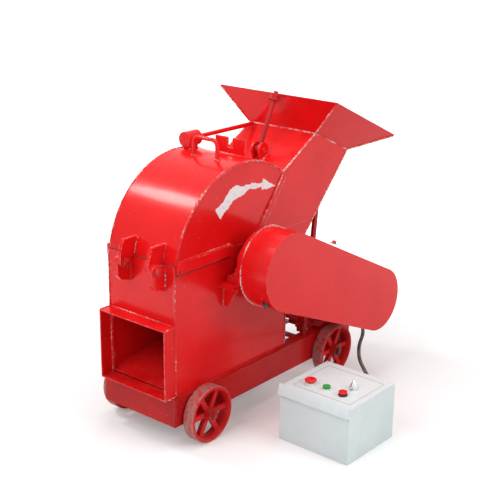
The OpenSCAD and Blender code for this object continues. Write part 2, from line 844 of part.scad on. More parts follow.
// Rails across the chassis that carry the motor, and the belt's tension bolts
module motor_rails() {
    stop_x = motor_x - 170;
    bolt_x = stop_x - 26;
    first_x = motor_x - rail_pitch / 2 - rail_w / 2;
    color("firebrick") {
        for (x = [first_x, first_x + rail_pitch])
            translate([x, -web_y, beam_top]) cube([rail_w, 2 * web_y, motor_rail_t]);
        for (side = [-1, 1]) {
            translate([stop_x, side * tension_y - 18, beam_top]) cube([10, 36, 60]);
            translate([bolt_x, side * tension_y, beam_top + 34]) rotate([0, 90, 0])
                cylinder(d = 12, h = first_x - bolt_x - 18);
        }
    }
}

// Foot-mounted motor: finned frame, two end shields, fan cowl and terminal box
module motor() {
    z = beam_top + motor_rail_t + motor_h;
    y0 = -(guard_back - 34);
    foot_w = 140;
    foot_h = 18;
    core = motor_d - 24;
    color("firebrick") translate([motor_x, 0, z]) {
        bar_y([0, 0], core / 2, y0 + 34, y0 + 34 + motor_len);
        for (i = [0 : 17]) rotate([0, i * 20 + 10, 0])
            translate([-2.5, y0 + 40, core / 2 - 3]) cube([5, motor_len - 12, 15]);
        bar_y([0, 0], motor_d / 2 - 4, y0 + 14, y0 + 34);
        bar_y([0, 0], motor_d / 2 - 30, y0, y0 + 14);
        bar_y([0, 0], motor_d / 2 - 4, y0 + 34 + motor_len, y0 + 52 + motor_len);
        bar_y([0, 0], motor_d / 2 - 10, y0 + 52 + motor_len, y0 + 122 + motor_len);
        bar_y([0, 0], motor_shaft_d / 2, y0 - 60, y0);
        translate([-motor_d / 2, y0 + 60, -motor_h]) cube([motor_d, foot_w, foot_h]);
        translate([-foot_w / 2, y0 + 70, -motor_h + foot_h]) cube([foot_w, foot_w - 20, 40]);
        translate([motor_d / 2 - 26, y0 + 90, -36]) cube([60, 90, 72]);
    }
}

// Open-topped steel box lying on its back, with a return flange round its rim
module switch_box() {
    low = [-switch_x, -switch_y - switch_w, 0];
    color("whitesmoke") translate(low) difference() {
        union() {
            cube([switch_l, switch_w, switch_h - 12]);
        }
        translate([switch_t, switch_t, switch_t])
            cube([switch_l - 2 * switch_t, switch_w - 2 * switch_t, switch_h]);
        translate([switch_l - switch_t - 1, switch_w / 2, 90]) rotate([0, 90, 0])
            cylinder(d = 20, h = switch_t + 2);
    }
    color("dimgray") translate([-switch_x + switch_l, -switch_y - switch_w / 2, 90]) {
        rotate([0, 90, 0]) cylinder(d = 30, h = 8);
        translate([8, 0, 0]) rotate([0, 90, 0]) cylinder(d1 = 26, d2 = 18, h = 22);
    }
}

// Lid of the switch box: a shallow pan hinged along its -Y edge
module switch_lid() {
    skirt = 10;
    z = switch_h - 12 + seat;
    color("whitesmoke") translate([-switch_x, -switch_y - switch_w, z]) difference() {
        cube([switch_l, switch_w, switch_h - z]);
        translate([switch_t + 2, switch_t + 2, -1])
            cube([switch_l - 2 * switch_t - 4, switch_w - 2 * switch_t - 4, switch_h - z - switch_t + 1]);
        for (i = [0 : 2])
            translate([button_x, button_y + i * button_pitch, 0])
                cylinder(d = stem_d + 2 * fit, h = switch_h);
        translate([button_x + knob_x, button_y, 0]) cylinder(d = stem_d + 2 * fit, h = switch_h);
    }
}

// Push button: round cap on a stem that slides through the lid, counted from the lid's -Y edge
module push_button(i, cap_d, cap_h, tint) {
    y = -switch_y - switch_w + button_y + i * button_pitch;
    color(tint) translate([-switch_x + button_x, y, switch_h]) {
        translate([0, 0, button_travel + 1]) cylinder(d = cap_d, h = cap_h);
        translate([0, 0, -24]) cylinder(d = stem_d, h = 24 + button_travel + 1);
    }
}

module stop_button() {
    push_button(2, button_d + 6, 8, "red");
}

module start_button() {
    push_button(1, button_d, 7, "green");
}

module emergency_button() {
    push_button(0, button_d + 8, 14, "red");
}

// Turning selector switch
module selector_knob() {
    color("silver") translate([-switch_x + button_x + knob_x, -switch_y - switch_w + button_y, switch_h]) {
        translate([0, 0, 0.5]) cylinder(d1 = 26, d2 = 20, h = 20);
        translate([0, 0, -24]) cylinder(d = stem_d, h = 25);
    }
}

// Cable from the motor's terminal box to the gland on the switch box
cable_d = 14;
cable_sides = 10;
cable_points = [[676, -86, 294], [676, -86, 270], [682, -108, 226], [682, -158, 192],
    [654, -214, 170], [600, -262, 152], [518, -302, 134], [452, -350, 116], [402, -410, 100],
    [360, -462, 86], [312, -506, 84], [270, -519.5, 90], [234, -519.5, 90]];

function lerp_point(p0, p1, p2, p3, t) = 0.5 * ((2 * p1) + (p2 - p0) * t
    + (2 * p0 - 5 * p1 + 4 * p2 - p3) * t * t + (3 * p1 - p0 - 3 * p2 + p3) * t * t * t);
cable_last = len(cable_points) - 1;
cable_steps = 5;
cable_path = [for (i = [0 : cable_last - 1], s = [0 : cable_steps - 1])
    lerp_point(cable_points[max(i - 1, 0)], cable_points[i], cable_points[i + 1],
        cable_points[min(i + 2, cable_last)], s / cable_steps), cable_points[cable_last]];
function unit(v) = v / norm(v);
function path_dir(i) = i == 0 ? unit(cable_points[1] - cable_points[0])
    : i == len(cable_path) - 1 ? unit(cable_points[cable_last] - cable_points[cable_last - 1])
    : unit(cable_path[i + 1] - cable_path[i - 1]);
function cable_ring(i) = let (d = path_dir(i), u = unit(cross(d, [0.1, 0.2, 1])), v = cross(d, u))
    [for (k = [0 : cable_sides - 1]) let (a = 360 * k / cable_sides)
        cable_path[i] + cable_d / 2 * (cos(a) * u + sin(a) * v)];

module motor_cable() {
    n = len(cable_path);
    rings = [for (i = [0 : n - 1]) each cable_ring(i)];
    walls = [for (i = [0 : n - 2], k = [0 : cable_sides - 1])
        let (a = i * cable_sides + k, b = i * cable_sides + (k + 1) % cable_sides)
        [a, b, b + cable_sides, a + cable_sides]];
    ends = [[for (k = [cable_sides - 1 : -1 : 0]) k],
        [for (k = [0 : cable_sides - 1]) (n - 1) * cable_sides + k]];
    color("black") polyhedron(rings, concat(walls, ends));
}

placed() chassis_beams();
placed() cross_members();
placed() axles();
placed() motor_rails();
placed() motor();
placed() casing_sides();
placed() casing_front();
placed() casing_rear();
placed() discharge_box();
placed() discharge_floor();
placed() grate_rails();
placed() grate_bars();
placed() liners();
placed() bearing_shelves();
placed() bearings();
placed() chute_sides();
placed() chute_walls();
placed() hopper();
placed() chute_strut();
placed() belt_guard();
placed() hinge_brackets();
placed() swing_ears();
placed() far_bar();
placed() hood_sheet();
placed() hood_sides();
placed() hood_skirts();
placed() hood_handle();
placed() latch_plate();
placed() hood_lugs();
placed() swing_bolt();
placed() rotor_shaft();
placed() rotor_discs();
placed() hammer_pins();
placed() hammers();
placed() wheel_front_near();
placed() wheel_front_far();
placed() wheel_rear_near();
placed() wheel_rear_far();
placed() switch_box();
placed() switch_lid();
placed() stop_button();
placed() start_button();
placed() emergency_button();
placed() selector_knob();
placed() motor_cable();
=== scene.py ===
import math
import bpy
import numpy as np
from mathutils import Matrix, Vector


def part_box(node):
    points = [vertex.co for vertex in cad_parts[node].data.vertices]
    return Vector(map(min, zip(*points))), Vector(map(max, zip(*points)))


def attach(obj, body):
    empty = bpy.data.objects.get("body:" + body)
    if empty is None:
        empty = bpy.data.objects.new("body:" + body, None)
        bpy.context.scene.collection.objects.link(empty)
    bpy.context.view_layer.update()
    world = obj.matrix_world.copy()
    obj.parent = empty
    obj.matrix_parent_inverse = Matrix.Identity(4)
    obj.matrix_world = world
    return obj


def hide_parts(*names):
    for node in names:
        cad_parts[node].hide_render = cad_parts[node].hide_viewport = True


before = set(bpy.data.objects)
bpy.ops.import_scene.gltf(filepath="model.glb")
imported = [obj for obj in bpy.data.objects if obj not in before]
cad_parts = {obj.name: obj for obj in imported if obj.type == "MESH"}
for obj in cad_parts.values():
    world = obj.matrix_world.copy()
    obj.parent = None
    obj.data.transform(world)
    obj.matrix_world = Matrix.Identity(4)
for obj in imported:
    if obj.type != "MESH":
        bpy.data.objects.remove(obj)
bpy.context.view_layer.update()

# Camera: stands ahead of the machine on the side of its belt guard, a little above the hopper's
# height, at the picture's viewing angle. A lens of this length gives the picture's perspective.
CAMERA_AT = (-2.8938, -2.2500, 1.8070)
CAMERA_TURN = math.radians(50.278)
CAMERA_TILT = math.radians(-18.468)
CAMERA_ROLL = math.radians(0.638)
ahead = Vector((math.sin(CAMERA_TURN) * math.cos(CAMERA_TILT),
                math.cos(CAMERA_TURN) * math.cos(CAMERA_TILT), math.sin(CAMERA_TILT)))
right = Vector((math.cos(CAMERA_TURN), -math.sin(CAMERA_TURN), 0))
above = right.cross(ahead)
side_axis = right * math.cos(CAMERA_ROLL) + above * math.sin(CAMERA_ROLL)
top_axis = above * math.cos(CAMERA_ROLL) - right * math.sin(CAMERA_ROLL)
camera = bpy.data.objects.new("camera", bpy.data.cameras.new("camera"))
camera.data.lens = 78.71
camera.data.sensor_width = 36
camera.matrix_world = Matrix.Translation(CAMERA_AT) @ Matrix(
    (side_axis, top_axis, -ahead)).transposed().to_4x4()
bpy.context.scene.collection.objects.link(camera)
bpy.context.scene.camera = camera
bpy.context.scene.view_settings.view_transform = "Standard"

# Power cable: black rubber flex from the underside of the motor's terminal box, down to the
# ground behind the near rear wheel and along it to the gland on the switch box.
disc_low, disc_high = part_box("rotor_discs")
hood_low, hood_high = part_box("hood_sheet")
AXIS_X = (disc_low.x + disc_high.x) / 2
MIDDLE_Y = (hood_low.y + hood_high.y) / 2
AXIS_Z = (disc_low.z + disc_high.z) / 2 * 1000


def put(points):
    """Frame points in metres: millimetres along, across and up from the rotor's axis, the middle
    plane and the ground, divided by 1000 and moved by the axis's place. Any array of points will
    do, such as rings of them."""
    return np.asarray(points, float) / 1000 + [AXIS_X, MIDDLE_Y, 0]


def smooth_route(stops, steps):
    """Catmull-Rom curve: between stops p1 and p2 a point is half of 2 p1 + (p2 - p0) t
    + (2 p0 - 5 p1 + 4 p2 - p3) t^2 + (3 p1 - p0 - 3 p2 + p3) t^3."""
    stops = np.asarray(stops, float)
    padded = np.vstack([stops[:1], stops, stops[-1:]])
    p0, p1, p2, p3 = (padded[i:len(stops) - 1 + i, None] for i in range(4))
    t = (np.arange(steps) / steps)[None, :, None]
    curve = 0.5 * (2 * p1 + (p2 - p0) * t + (2 * p0 - 5 * p1 + 4 * p2 - p3) * t ** 2
                   + (3 * p1 - p0 - 3 * p2 + p3) * t ** 3)
    return np.vstack([curve.reshape(-1, 3), stops[-1:]])


def rings_along(path, radii, sides, up=(0.1, 0.2, 1), flat=1.0):
    """Rings round a path: at each point, path + r (cos a u + flat sin a v), where u is across the
    path's direction and v across both."""
    path = np.asarray(path, float)
    heading = np.gradient(path, axis=0)
    heading /= np.linalg.norm(heading, axis=1)[:, None]
    u = np.cross(heading, up)
    u /= np.linalg.norm(u, axis=1)[:, None]
    v = np.cross(heading, u)
    a = np.arange(sides) * 2 * np.pi / sides
    radii = np.broadcast_to(np.asarray(radii, float), (len(path),))[:, None, None]
    ring = np.cos(a)[None, :, None] * u[:, None] + flat * np.sin(a)[None, :, None] * v[:, None]
    return path[:, None] + radii * ring


def skin(rings):
    """Closed tube through rings of points: point k of a ring joins point k + 1 and the next ring,
    and each end is a fan round the middle of its ring. Its faces are turned outwards by the sign
    of the volume that they enclose."""
    n, m = rings.shape[:2]
    ring, side = np.meshgrid(np.arange(n - 1), np.arange(m), indexing="ij")
    a = ring * m + side
    b = ring * m + (side + 1) % m
    quads = np.stack([a, b, b + m, a + m], -1).reshape(-1, 4)
    k = np.arange(m)
    fans = np.vstack([np.stack([np.full(m, n * m), (k + 1) % m, k, np.full(m, -1)], -1),
                      np.stack([np.full(m, n * m + 1), (n - 1) * m + k,
                                (n - 1) * m + (k + 1) % m, np.full(m, -1)], -1)])
    points = np.vstack([rings.reshape(-1, 3), rings[[0, -1]].mean(1)])
    faces = np.vstack([quads, fans])
    p = points - points.mean(0)
    first, second, third = p[faces[:, 0]], p[faces[:, 1]], p[faces[:, 2]]
    fourth = np.where((faces[:, 3] < 0)[:, None], third, p[faces[:, 3]])
    volume = (np.einsum("ij,ij->i", first, np.cross(second, third))
              + np.einsum("ij,ij->i", first, np.cross(third, fourth))).sum()
    if volume < 0:
        faces = np.where((faces[:, 3:] < 0), faces[:, [0, 2, 1, 3]], faces[:, [0, 3, 2, 1]])
    return points, faces


def make_piece(name, shells, material, body, smooth=35):
    """One object from closed shells of points and faces, its faces smooth where they meet at less
    than the given angle. It rides on a body."""
    shells = [shells] if isinstance(shells, tuple) else list(shells)
    starts = np.cumsum([0] + [len(points) for points, _ in shells])
    points = np.vstack([points for points, _ in shells])
    faces = [tuple(f[f >= 0] + start) for (_, each), start in zip(shells, starts) for f in each]
    mesh = bpy.data.meshes.new(name)
    mesh.from_pydata(points, [], faces)
    mesh.shade_smooth()
    mesh.set_sharp_from_angle(angle=math.radians(smooth))
    mesh.materials.append(material)
    piece = bpy.data.objects.new(name, mesh)
    bpy.context.scene.collection.objects.link(piece)
    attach(piece, body)
    return piece


def new_group(name, inputs, outputs):
    """Empty shader group with named inputs and outputs, each given as name, kind and value."""
    group = bpy.data.node_groups.new(name, "ShaderNodeTree")
    for label, kind, value in inputs:
        group.interface.new_socket(label, in_out="INPUT", socket_type=kind).default_value = value
    for label, kind in outputs:
        group.interface.new_socket(label, in_out="OUTPUT", socket_type=kind)
    return group, group.nodes.new("NodeGroupInput"), group.nodes.new("NodeGroupOutput")


def add(tree, kind, links=(), **settings):
    """Node of a kind in a tree, with its settings, its inputs set or linked by name or number."""
    node = tree.nodes.new(kind)
    for key, value in settings.items():
        setattr(node, key, value)
    for key, value in links:
        if isinstance(value, bpy.types.NodeSocket):
            tree.links.new(value, node.inputs[key])
        else:
            node.inputs[key].default_value = value
    return node


def ramp(tree, value, low, high, smooth=True):
    """0 below low, 1 above high and an even slope, or a smooth one, between them."""
    return add(tree, "ShaderNodeMapRange",
               [("Value", value), ("From Min", low), ("From Max", high)],
               interpolation_type="SMOOTHSTEP" if smooth else "LINEAR").outputs[0]


def product(tree, a, b, operation="MULTIPLY"):
    """Two values multiplied, or put together by another operation."""
    return add(tree, "ShaderNodeMath", [(0, a), (1, b)], operation=operation).outputs[0]


def scaled(tree, value, times, base):
    """A value times a share, added to a base."""
    return product(tree, product(tree, value, times), base, "ADD")


def blended(tree, share, a, b):
    """Colour a where the share is 0 and b where it is 1."""
    return add(tree, "ShaderNodeMix", [("Factor", share), (6, a), (7, b)],
               data_type="RGBA").outputs[2]


def noise(tree, place, scale, detail=3, rough=0.55):
    """Cloudy pattern of a scale in lumps a metre."""
    return add(tree, "ShaderNodeTexNoise", [("Vector", place), ("Scale", scale), ("Detail", detail),
                                            ("Roughness", rough)]).outputs["Fac"]


# Stone dust: lies on what faces up, and more of it close to the ground
dust_group, dust_in, dust_out = new_group(
    "stone_dust", [("Amount", "NodeSocketFloat", 0.3), ("Reach", "NodeSocketFloat", 0.5)],
    [("Dust", "NodeSocketFloat")])
where = add(dust_group, "ShaderNodeTexCoord")
parts = add(dust_group, "ShaderNodeSeparateXYZ", [(0, where.outputs["Object"])])
facing = add(dust_group, "ShaderNodeSeparateXYZ", [(0, where.outputs["Normal"])])
flat_top = ramp(dust_group, facing.outputs["Z"], 0.1, 1.0)
low_down = ramp(dust_group, product(dust_group, dust_in.outputs["Reach"],
                                    parts.outputs["Z"], "SUBTRACT"), 0.0, 0.35)
lie = product(dust_group, product(dust_group, flat_top, 0.55),
              product(dust_group, low_down, 0.65), "ADD")
patches = ramp(dust_group, noise(dust_group, where.outputs["Object"], 28, 6, 0.65), 0.36, 0.7)
fall = product(dust_group, product(dust_group, lie, patches), dust_in.outputs["Amount"])
dust_group.links.new(add(dust_group, "ShaderNodeMath", [(0, fall), (1, 0.0)],
                         use_clamp=True).outputs[0], dust_out.inputs["Dust"])


def dust_on(tree, amount, reach):
    """Mask of the dust group, with its own amount and height in metres."""
    node = add(tree, "ShaderNodeGroup", node_tree=dust_group)
    node.inputs["Amount"].default_value = amount
    node.inputs["Reach"].default_value = reach
    return node.outputs["Dust"]


def start_material(name):
    """Material with its node tree, its shader and the object's own coordinates."""
    material = bpy.data.materials.new(name)
    material.use_nodes = True
    tree = material.node_tree
    place = add(tree, "ShaderNodeTexCoord").outputs["Object"]
    return material, tree, tree.nodes["Principled BSDF"], place


def bump(tree, shader, height, depth):
    """Fine relief of a height pattern, its depth in metres."""
    normal = add(tree, "ShaderNodeBump", [("Height", height), ("Distance", depth),
                                          ("Strength", 1.0)]).outputs[0]
    tree.links.new(normal, shader.inputs["Normal"])


STONE_DUST = (0.52, 0.48, 0.44, 1)


def rubber(name, colour):
    """Matt rubber: small scuffs in the gloss, stone dust on its top."""
    material, tree, shader, place = start_material(name)
    scuff = noise(tree, place, 90, 5, 0.7)
    dust = dust_on(tree, 0.55, 0.3)
    lighter = tuple(min(1, 2.4 * c + 0.01) for c in colour[:3]) + (1,)
    tree.links.new(blended(tree, dust, blended(tree, ramp(tree, scuff, 0.5, 0.8), colour, lighter),
                           STONE_DUST), shader.inputs["Base Color"])
    tree.links.new(scaled(tree, scuff, 0.3, 0.42), shader.inputs["Roughness"])
    bump(tree, shader, scuff, 0.0003)
    return material


CABLE_D = 14
CABLE_STOPS = [(676, -86, 294), (676, -86, 270), (682, -108, 226), (682, -158, 192),
               (654, -214, 170), (600, -262, 152), (518, -302, 134), (452, -350, 116),
               (402, -410, 100), (360, -462, 86), (312, -506, 84), (270, -519.5, 90),
               (234, -519.5, 90)]
cable_route = put(smooth_route(CABLE_STOPS, 12))
cable_rubber = rubber("cable_rubber", (0.012, 0.012, 0.013, 1))
power_cable = make_piece("power_cable", skin(rings_along(cable_route, CABLE_D / 2000, 20)),
                         cable_rubber, "frame")
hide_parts("motor_cable")
relief_z = np.array([0, 0, 3, 6, 6, 9, 12, 12, 15, 18, 18, 21, 30, 30])
relief_r = np.array([0.1, 12, 12, 12, 11, 11, 11, 10, 10, 10, 9.4, 9.4, 8.6, 7.4])
relief_path = put(np.stack([np.full(14, 676), -86 - relief_z * 0.01, 294 - relief_z], -1))
relief_path += np.arange(14)[:, None] * [0, 0, -1e-6]
relief = make_piece("cable_relief", skin(rings_along(relief_path, relief_r / 1000, 24, up=(1, 0, 0))),
                    cable_rubber, "frame")

# Floor and light: a plain pale floor under a white surround, broad soft lamps ahead, on the guard's
# side and over the top, and a small one behind, whose reflection is the pale patch on the hood.
floor_mesh = bpy.data.meshes.new("floor")
floor_mesh.from_pydata([(-30, -30, -0.001), (30, -30, -0.001), (30, 30, -0.001), (-30, 30, -0.001)],
                       [], [(0, 1, 2, 3)])
floor_paint, floor_tree, floor_shader, floor_place = start_material("floor_paint")
floor_shader.inputs["Roughness"].default_value = 0.9
floor_shader.inputs["Specular IOR Level"].default_value = 0.1
floor_tree.links.new(blended(floor_tree, noise(floor_tree, floor_place, 3), (0.78, 0.78, 0.78, 1),
                             (0.82, 0.82, 0.82, 1)), floor_shader.inputs["Base Color"])
looked_at = add(floor_tree, "ShaderNodeLightPath")
direct = product(floor_tree, product(floor_tree, looked_at.outputs["Is Camera Ray"],
                                     looked_at.outputs["Is Glossy Ray"], "MAXIMUM"),
                 looked_at.outputs["Is Transmission Ray"], "MAXIMUM")
far_off = add(floor_tree, "ShaderNodeVectorMath", [(0, floor_place)], operation="LENGTH")
glow = ramp(floor_tree, far_off.outputs["Value"], 0.7, 2.6)
floor_shader.inputs["Emission Color"].default_value = (1, 1, 1, 1)
floor_tree.links.new(product(floor_tree, scaled(floor_tree, glow, 0.8, 0.22),
                             direct), floor_shader.inputs["Emission Strength"])
floor_mesh.materials.append(floor_paint)
floor = bpy.data.objects.new("floor", floor_mesh)
bpy.context.scene.collection.objects.link(floor)
world = bpy.data.worlds.new("surround")
bpy.context.scene.world = world
world.use_nodes = True
sky = world.node_tree
seen = add(sky, "ShaderNodeLightPath")
straight = product(sky, product(sky, seen.outputs["Is Camera Ray"], seen.outputs["Is Glossy Ray"],
                                "MAXIMUM"), seen.outputs["Is Transmission Ray"], "MAXIMUM")
sky.nodes["Background"].inputs["Color"].default_value = (1, 1, 1, 1)
sky.links.new(scaled(sky, straight, 0.62, 0.38),
              sky.nodes["Background"].inputs["Strength"])
for lamp_name, lamp_at, lamp_size, lamp_power in (
        ("key_lamp", (-3.2, 0.4, 3.4), 2.4, 70), ("side_lamp", (0.4, -4.2, 2.8), 2.2, 66),
        ("top_lamp", (0.4, -0.2, 4.2), 2.6, 66), ("hood_lamp", (-1.24, 2.5, 3.3), 0.6, 34)):
    lamp = bpy.data.objects.new(lamp_name, bpy.data.lights.new(lamp_name, "AREA"))
    lamp.data.size = lamp_size
    lamp.data.energy = lamp_power
    lamp.location = lamp_at
    lamp.rotation_euler = (Vector((0, 0, 0.5)) - lamp.location).to_track_quat("-Z", "Y").to_euler()
    bpy.context.scene.collection.objects.link(lamp)

# Chassis: two rolled channels tied by plates, brushed with a dull coat of the same red that dust
# and stones have rubbed, with the welds left as they were laid.
edge_group, edge_in, edge_out = new_group(
    "worn_edges", [("Radius", "NodeSocketFloat", 0.003), ("Scale", "NodeSocketFloat", 60),
                   ("Amount", "NodeSocketFloat", 0.5)],
    [("Chips", "NodeSocketFloat"), ("Edge", "NodeSocketFloat")])
edge_place = add(edge_group, "ShaderNodeTexCoord").outputs["Object"]
rounded = add(edge_group, "ShaderNodeBevel", [("Radius", edge_in.outputs["Radius"])], samples=4)
agree = add(edge_group, "ShaderNodeVectorMath",
            [(0, rounded.outputs[0]),
             (1, add(edge_group, "ShaderNodeNewGeometry").outputs["Normal"])],
            operation="DOT_PRODUCT").outputs["Value"]
edge_mask = ramp(edge_group, product(edge_group, 1.0, agree, "SUBTRACT"), 0.01, 0.16)
chip_noise = noise(edge_group, edge_place, edge_in.outputs["Scale"], 5, 0.7)
chip_edge = ramp(edge_group, product(edge_group, product(edge_group, edge_mask, 0.62), chip_noise),
                 0.30, 0.34)
reach_noise = ramp(edge_group, noise(edge_group, edge_place, 9, 2), 0.38, 0.62)
chip_runs = product(edge_group, chip_edge, reach_noise)
chipped = product(edge_group, chip_runs, edge_in.outputs["Amount"])
edge_group.links.new(chipped, edge_out.inputs["Chips"])
edge_group.links.new(edge_mask, edge_out.inputs["Edge"])
skin_group, skin_in, skin_out = new_group(
    "brushed_coat", [("Scale", "NodeSocketFloat", 5)],
    [("Tone", "NodeSocketFloat"), ("Relief", "NodeSocketFloat"), ("Specks", "NodeSocketFloat")])
skin_place = add(skin_group, "ShaderNodeTexCoord").outputs["Object"]
skin_group.links.new(noise(skin_group, skin_place, skin_in.outputs["Scale"], 4, 0.6),
                     skin_out.inputs["Tone"])
skin_group.links.new(product(skin_group, noise(skin_group, skin_place, 14, 2),
                             product(skin_group, noise(skin_group, skin_place, 600, 2), 0.09),
                             "ADD"), skin_out.inputs["Relief"])
skin_group.links.new(ramp(skin_group, noise(skin_group, skin_place, 130, 2, 0.5), 0.735, 0.76),
                     skin_out.inputs["Specks"])


def red_coat(name, colour, shade, gloss, chips, dust, reach=0.45, coat=0.12, fleck=0.7):
    """Brushed enamel: two tones of red, pale primer in the chips along its edges and in a few
    specks, dust on its top, a clear gloss over it and slow waves of the plate under it."""
    material, tree, shader, place = start_material(name)
    wear = add(tree, "ShaderNodeGroup", [("Radius", 0.0035), ("Scale", 150), ("Amount", chips)],
               node_tree=edge_group)
    film = add(tree, "ShaderNodeGroup", [("Scale", 5.0)], node_tree=skin_group)
    tone = blended(tree, ramp(tree, film.outputs["Tone"], 0.35, 0.7), colour, shade)
    bare = product(tree, wear.outputs["Chips"], product(tree, film.outputs["Specks"], fleck),
                   "MAXIMUM")
    primer = blended(tree, bare, tone, (0.72, 0.50, 0.47, 1))
    grime = dust_on(tree, dust, reach)
    tree.links.new(blended(tree, grime, primer, STONE_DUST), shader.inputs["Base Color"])
    rough = product(tree, product(tree, film.outputs["Tone"], 0.14),
                    scaled(tree, grime, 0.4, gloss), "ADD")
    tree.links.new(product(tree, rough, product(tree, bare, 0.25), "ADD"), shader.inputs["Roughness"])
    shader.inputs["Specular IOR Level"].default_value = 0.16
    shader.inputs["Coat Weight"].default_value = coat
    shader.inputs["Coat Roughness"].default_value = 0.12
    bump(tree, shader, film.outputs["Relief"], 0.0009)
    return material


def dress(material, finish, *nodes):
    """Gives CAD nodes a material. The finish is not used."""
    for node in nodes:
        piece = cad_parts[node]
        piece.data.materials.clear()
        piece.data.materials.append(material)


def weld(path, width, seed, step=1.7):
    """Weld bead along a line of points in millimetres: a tube whose radius swells once every 6 mm
    where a drop was laid, by width (0.42 + 0.10 |sin|), with seeded unevenness of about a tenth."""
    path = np.asarray(path, float)
    run = np.concatenate([[0], np.linalg.norm(np.diff(path, axis=0), axis=1).cumsum()])
    at = np.linspace(0, run[-1], max(6, int(run[-1] / step)))
    line = np.stack([np.interp(at, run, path[:, k]) for k in range(3)], -1)
    chance = np.random.default_rng(seed)
    wobble = np.convolve(chance.normal(0, 1, len(at) + 4), np.ones(5) / 5, "valid")
    radius = width * (0.42 + 0.10 * np.abs(np.sin(at * np.pi / 6)) + 0.09 * wobble)
    radius *= np.clip(np.minimum(at, run[-1] - at) / width + 0.35, 0, 1)
    line = line + chance.normal(0, width * 0.035, line.shape)
    return skin(rings_along(put(line), radius / 1000, 8, up=(0.31, 0.17, 0.93)))


def both(path):
    """A path and the same path on the other side of the middle plane."""
    path = np.asarray(path, float)
    return [path, path * [1, -1, 1]]


def bead_coat(name, colour, pale, brown, start=0.42):
    """Weld bead under the red coat: in runs of a few centimetres pale specks stand partly for the
    primer showing through and partly for painted glints on the bead, and the burnt scale shows in
    dark brown ones. A lower start gives more and longer runs."""
    material, tree, shader, place = start_material(name)
    runs = ramp(tree, noise(tree, place, 13, 2), start, start + 0.18)
    light = product(tree, ramp(tree, noise(tree, place, 190, 3), start + 0.11, start + 0.16), runs)
    scorch = ramp(tree, noise(tree, place, 120, 4, 0.7), 0.60, 0.66)
    burnt = blended(tree, product(tree, scorch, brown), colour, (0.10, 0.012, 0.010, 1))
    tree.links.new(blended(tree, product(tree, light, pale), burnt, (0.82, 0.66, 0.62, 1)),
                   shader.inputs["Base Color"])
    tree.links.new(scaled(tree, light, 0.3, 0.34), shader.inputs["Roughness"])
    shader.inputs["Specular IOR Level"].default_value = 0.35
    bump(tree, shader, scorch, 0.0004)
    return material


# Pale specks on the beads: partly primer in chips, partly painted glints.
weld_red = bead_coat("weld_red", (0.70, 0.012, 0.014, 1), 0.95, 0.75)
worn_glinting_weld = bead_coat("worn_glinting_weld", (0.70, 0.012, 0.014, 1), 1.0, 0.6, 0.36)
chassis_red = red_coat("chassis_red", (0.56, 0.007, 0.008, 1), (0.42, 0.005, 0.006, 1), 0.30, 0.45,
                       0.02, reach=0.32, coat=0.08)
dress(chassis_red, "dark_red_paint", "chassis_beams", "cross_members", "motor_rails")
BEAM_LOW = 84
BEAM_TOP = 184
NOSE = -363
chassis_lines = [[(NOSE + 5, 168, BEAM_LOW + 4), (NOSE + 5, 168, BEAM_TOP - 4)],
                 [(NOSE + 5, 120, BEAM_LOW + 6), (NOSE + 5, 120, BEAM_TOP - 6)],
                 [(-338, 154, BEAM_TOP), (236, 154, BEAM_TOP)]]
chassis_paths = [p for line in chassis_lines for p in both(line)]
make_piece("chassis_welds", [weld(p, 7, 10 + i) for i, p in enumerate(chassis_paths)],
           chassis_red, "frame")

# Wheels: cast iron with six spokes, brushed red with the chassis and worn back to grey metal where
# they roll, on plain axles held by washers and split pins.
def cast_wheel(name, axle):
    """Red over rough casting. The tread, a band near the full radius from the axle, is worn to
    brown and grey metal."""
    material, tree, shader, place = start_material(name)
    middle = add(tree, "ShaderNodeVectorMath", [(0, place), (1, axle)], operation="SUBTRACT")
    flat = add(tree, "ShaderNodeVectorMath", [(0, middle.outputs[0]), (1, (1, 0, 1))],
               operation="MULTIPLY").outputs[0]
    radius = add(tree, "ShaderNodeVectorMath", [(0, flat)], operation="LENGTH").outputs["Value"]
    grain = noise(tree, place, 160, 4, 0.7)
    worn = product(tree, ramp(tree, radius, 0.0970, 0.0993),
                   ramp(tree, noise(tree, place, 60, 5, 0.7), 0.36, 0.56))
    wear = add(tree, "ShaderNodeGroup", [("Radius", 0.004), ("Scale", 110), ("Amount", 0.35)],
               node_tree=edge_group)
    bare = product(tree, worn, wear.outputs["Chips"], "MAXIMUM")
    paint = blended(tree, ramp(tree, grain, 0.3, 0.75), (0.72, 0.012, 0.014, 1),
                    (0.54, 0.009, 0.010, 1))
    metal = blended(tree, grain, (0.30, 0.10, 0.09, 1), (0.44, 0.30, 0.28, 1))
    grime = dust_on(tree, 0.06, 0.3)
    tree.links.new(blended(tree, grime, blended(tree, bare, paint, metal), STONE_DUST),
                   shader.inputs["Base Color"])
    tree.links.new(scaled(tree, grain, 0.25, 0.38), shader.inputs["Roughness"])
    tree.links.new(product(tree, bare, 0.3), shader.inputs["Metallic"])
    shader.inputs["Specular IOR Level"].default_value = 0.2
    bump(tree, shader, grain, 0.0006)
    return material


WHEEL_R = 100
AXLE_X = {"front": -231, "rear": 490}
for wheel_end, axle_x in AXLE_X.items():
    for wheel_node in ("wheel_" + wheel_end + "_near", "wheel_" + wheel_end + "_far"):
        dress(cast_wheel("iron_of_" + wheel_node, tuple(put((axle_x, 0, WHEEL_R)))), "red_paint",
              wheel_node)


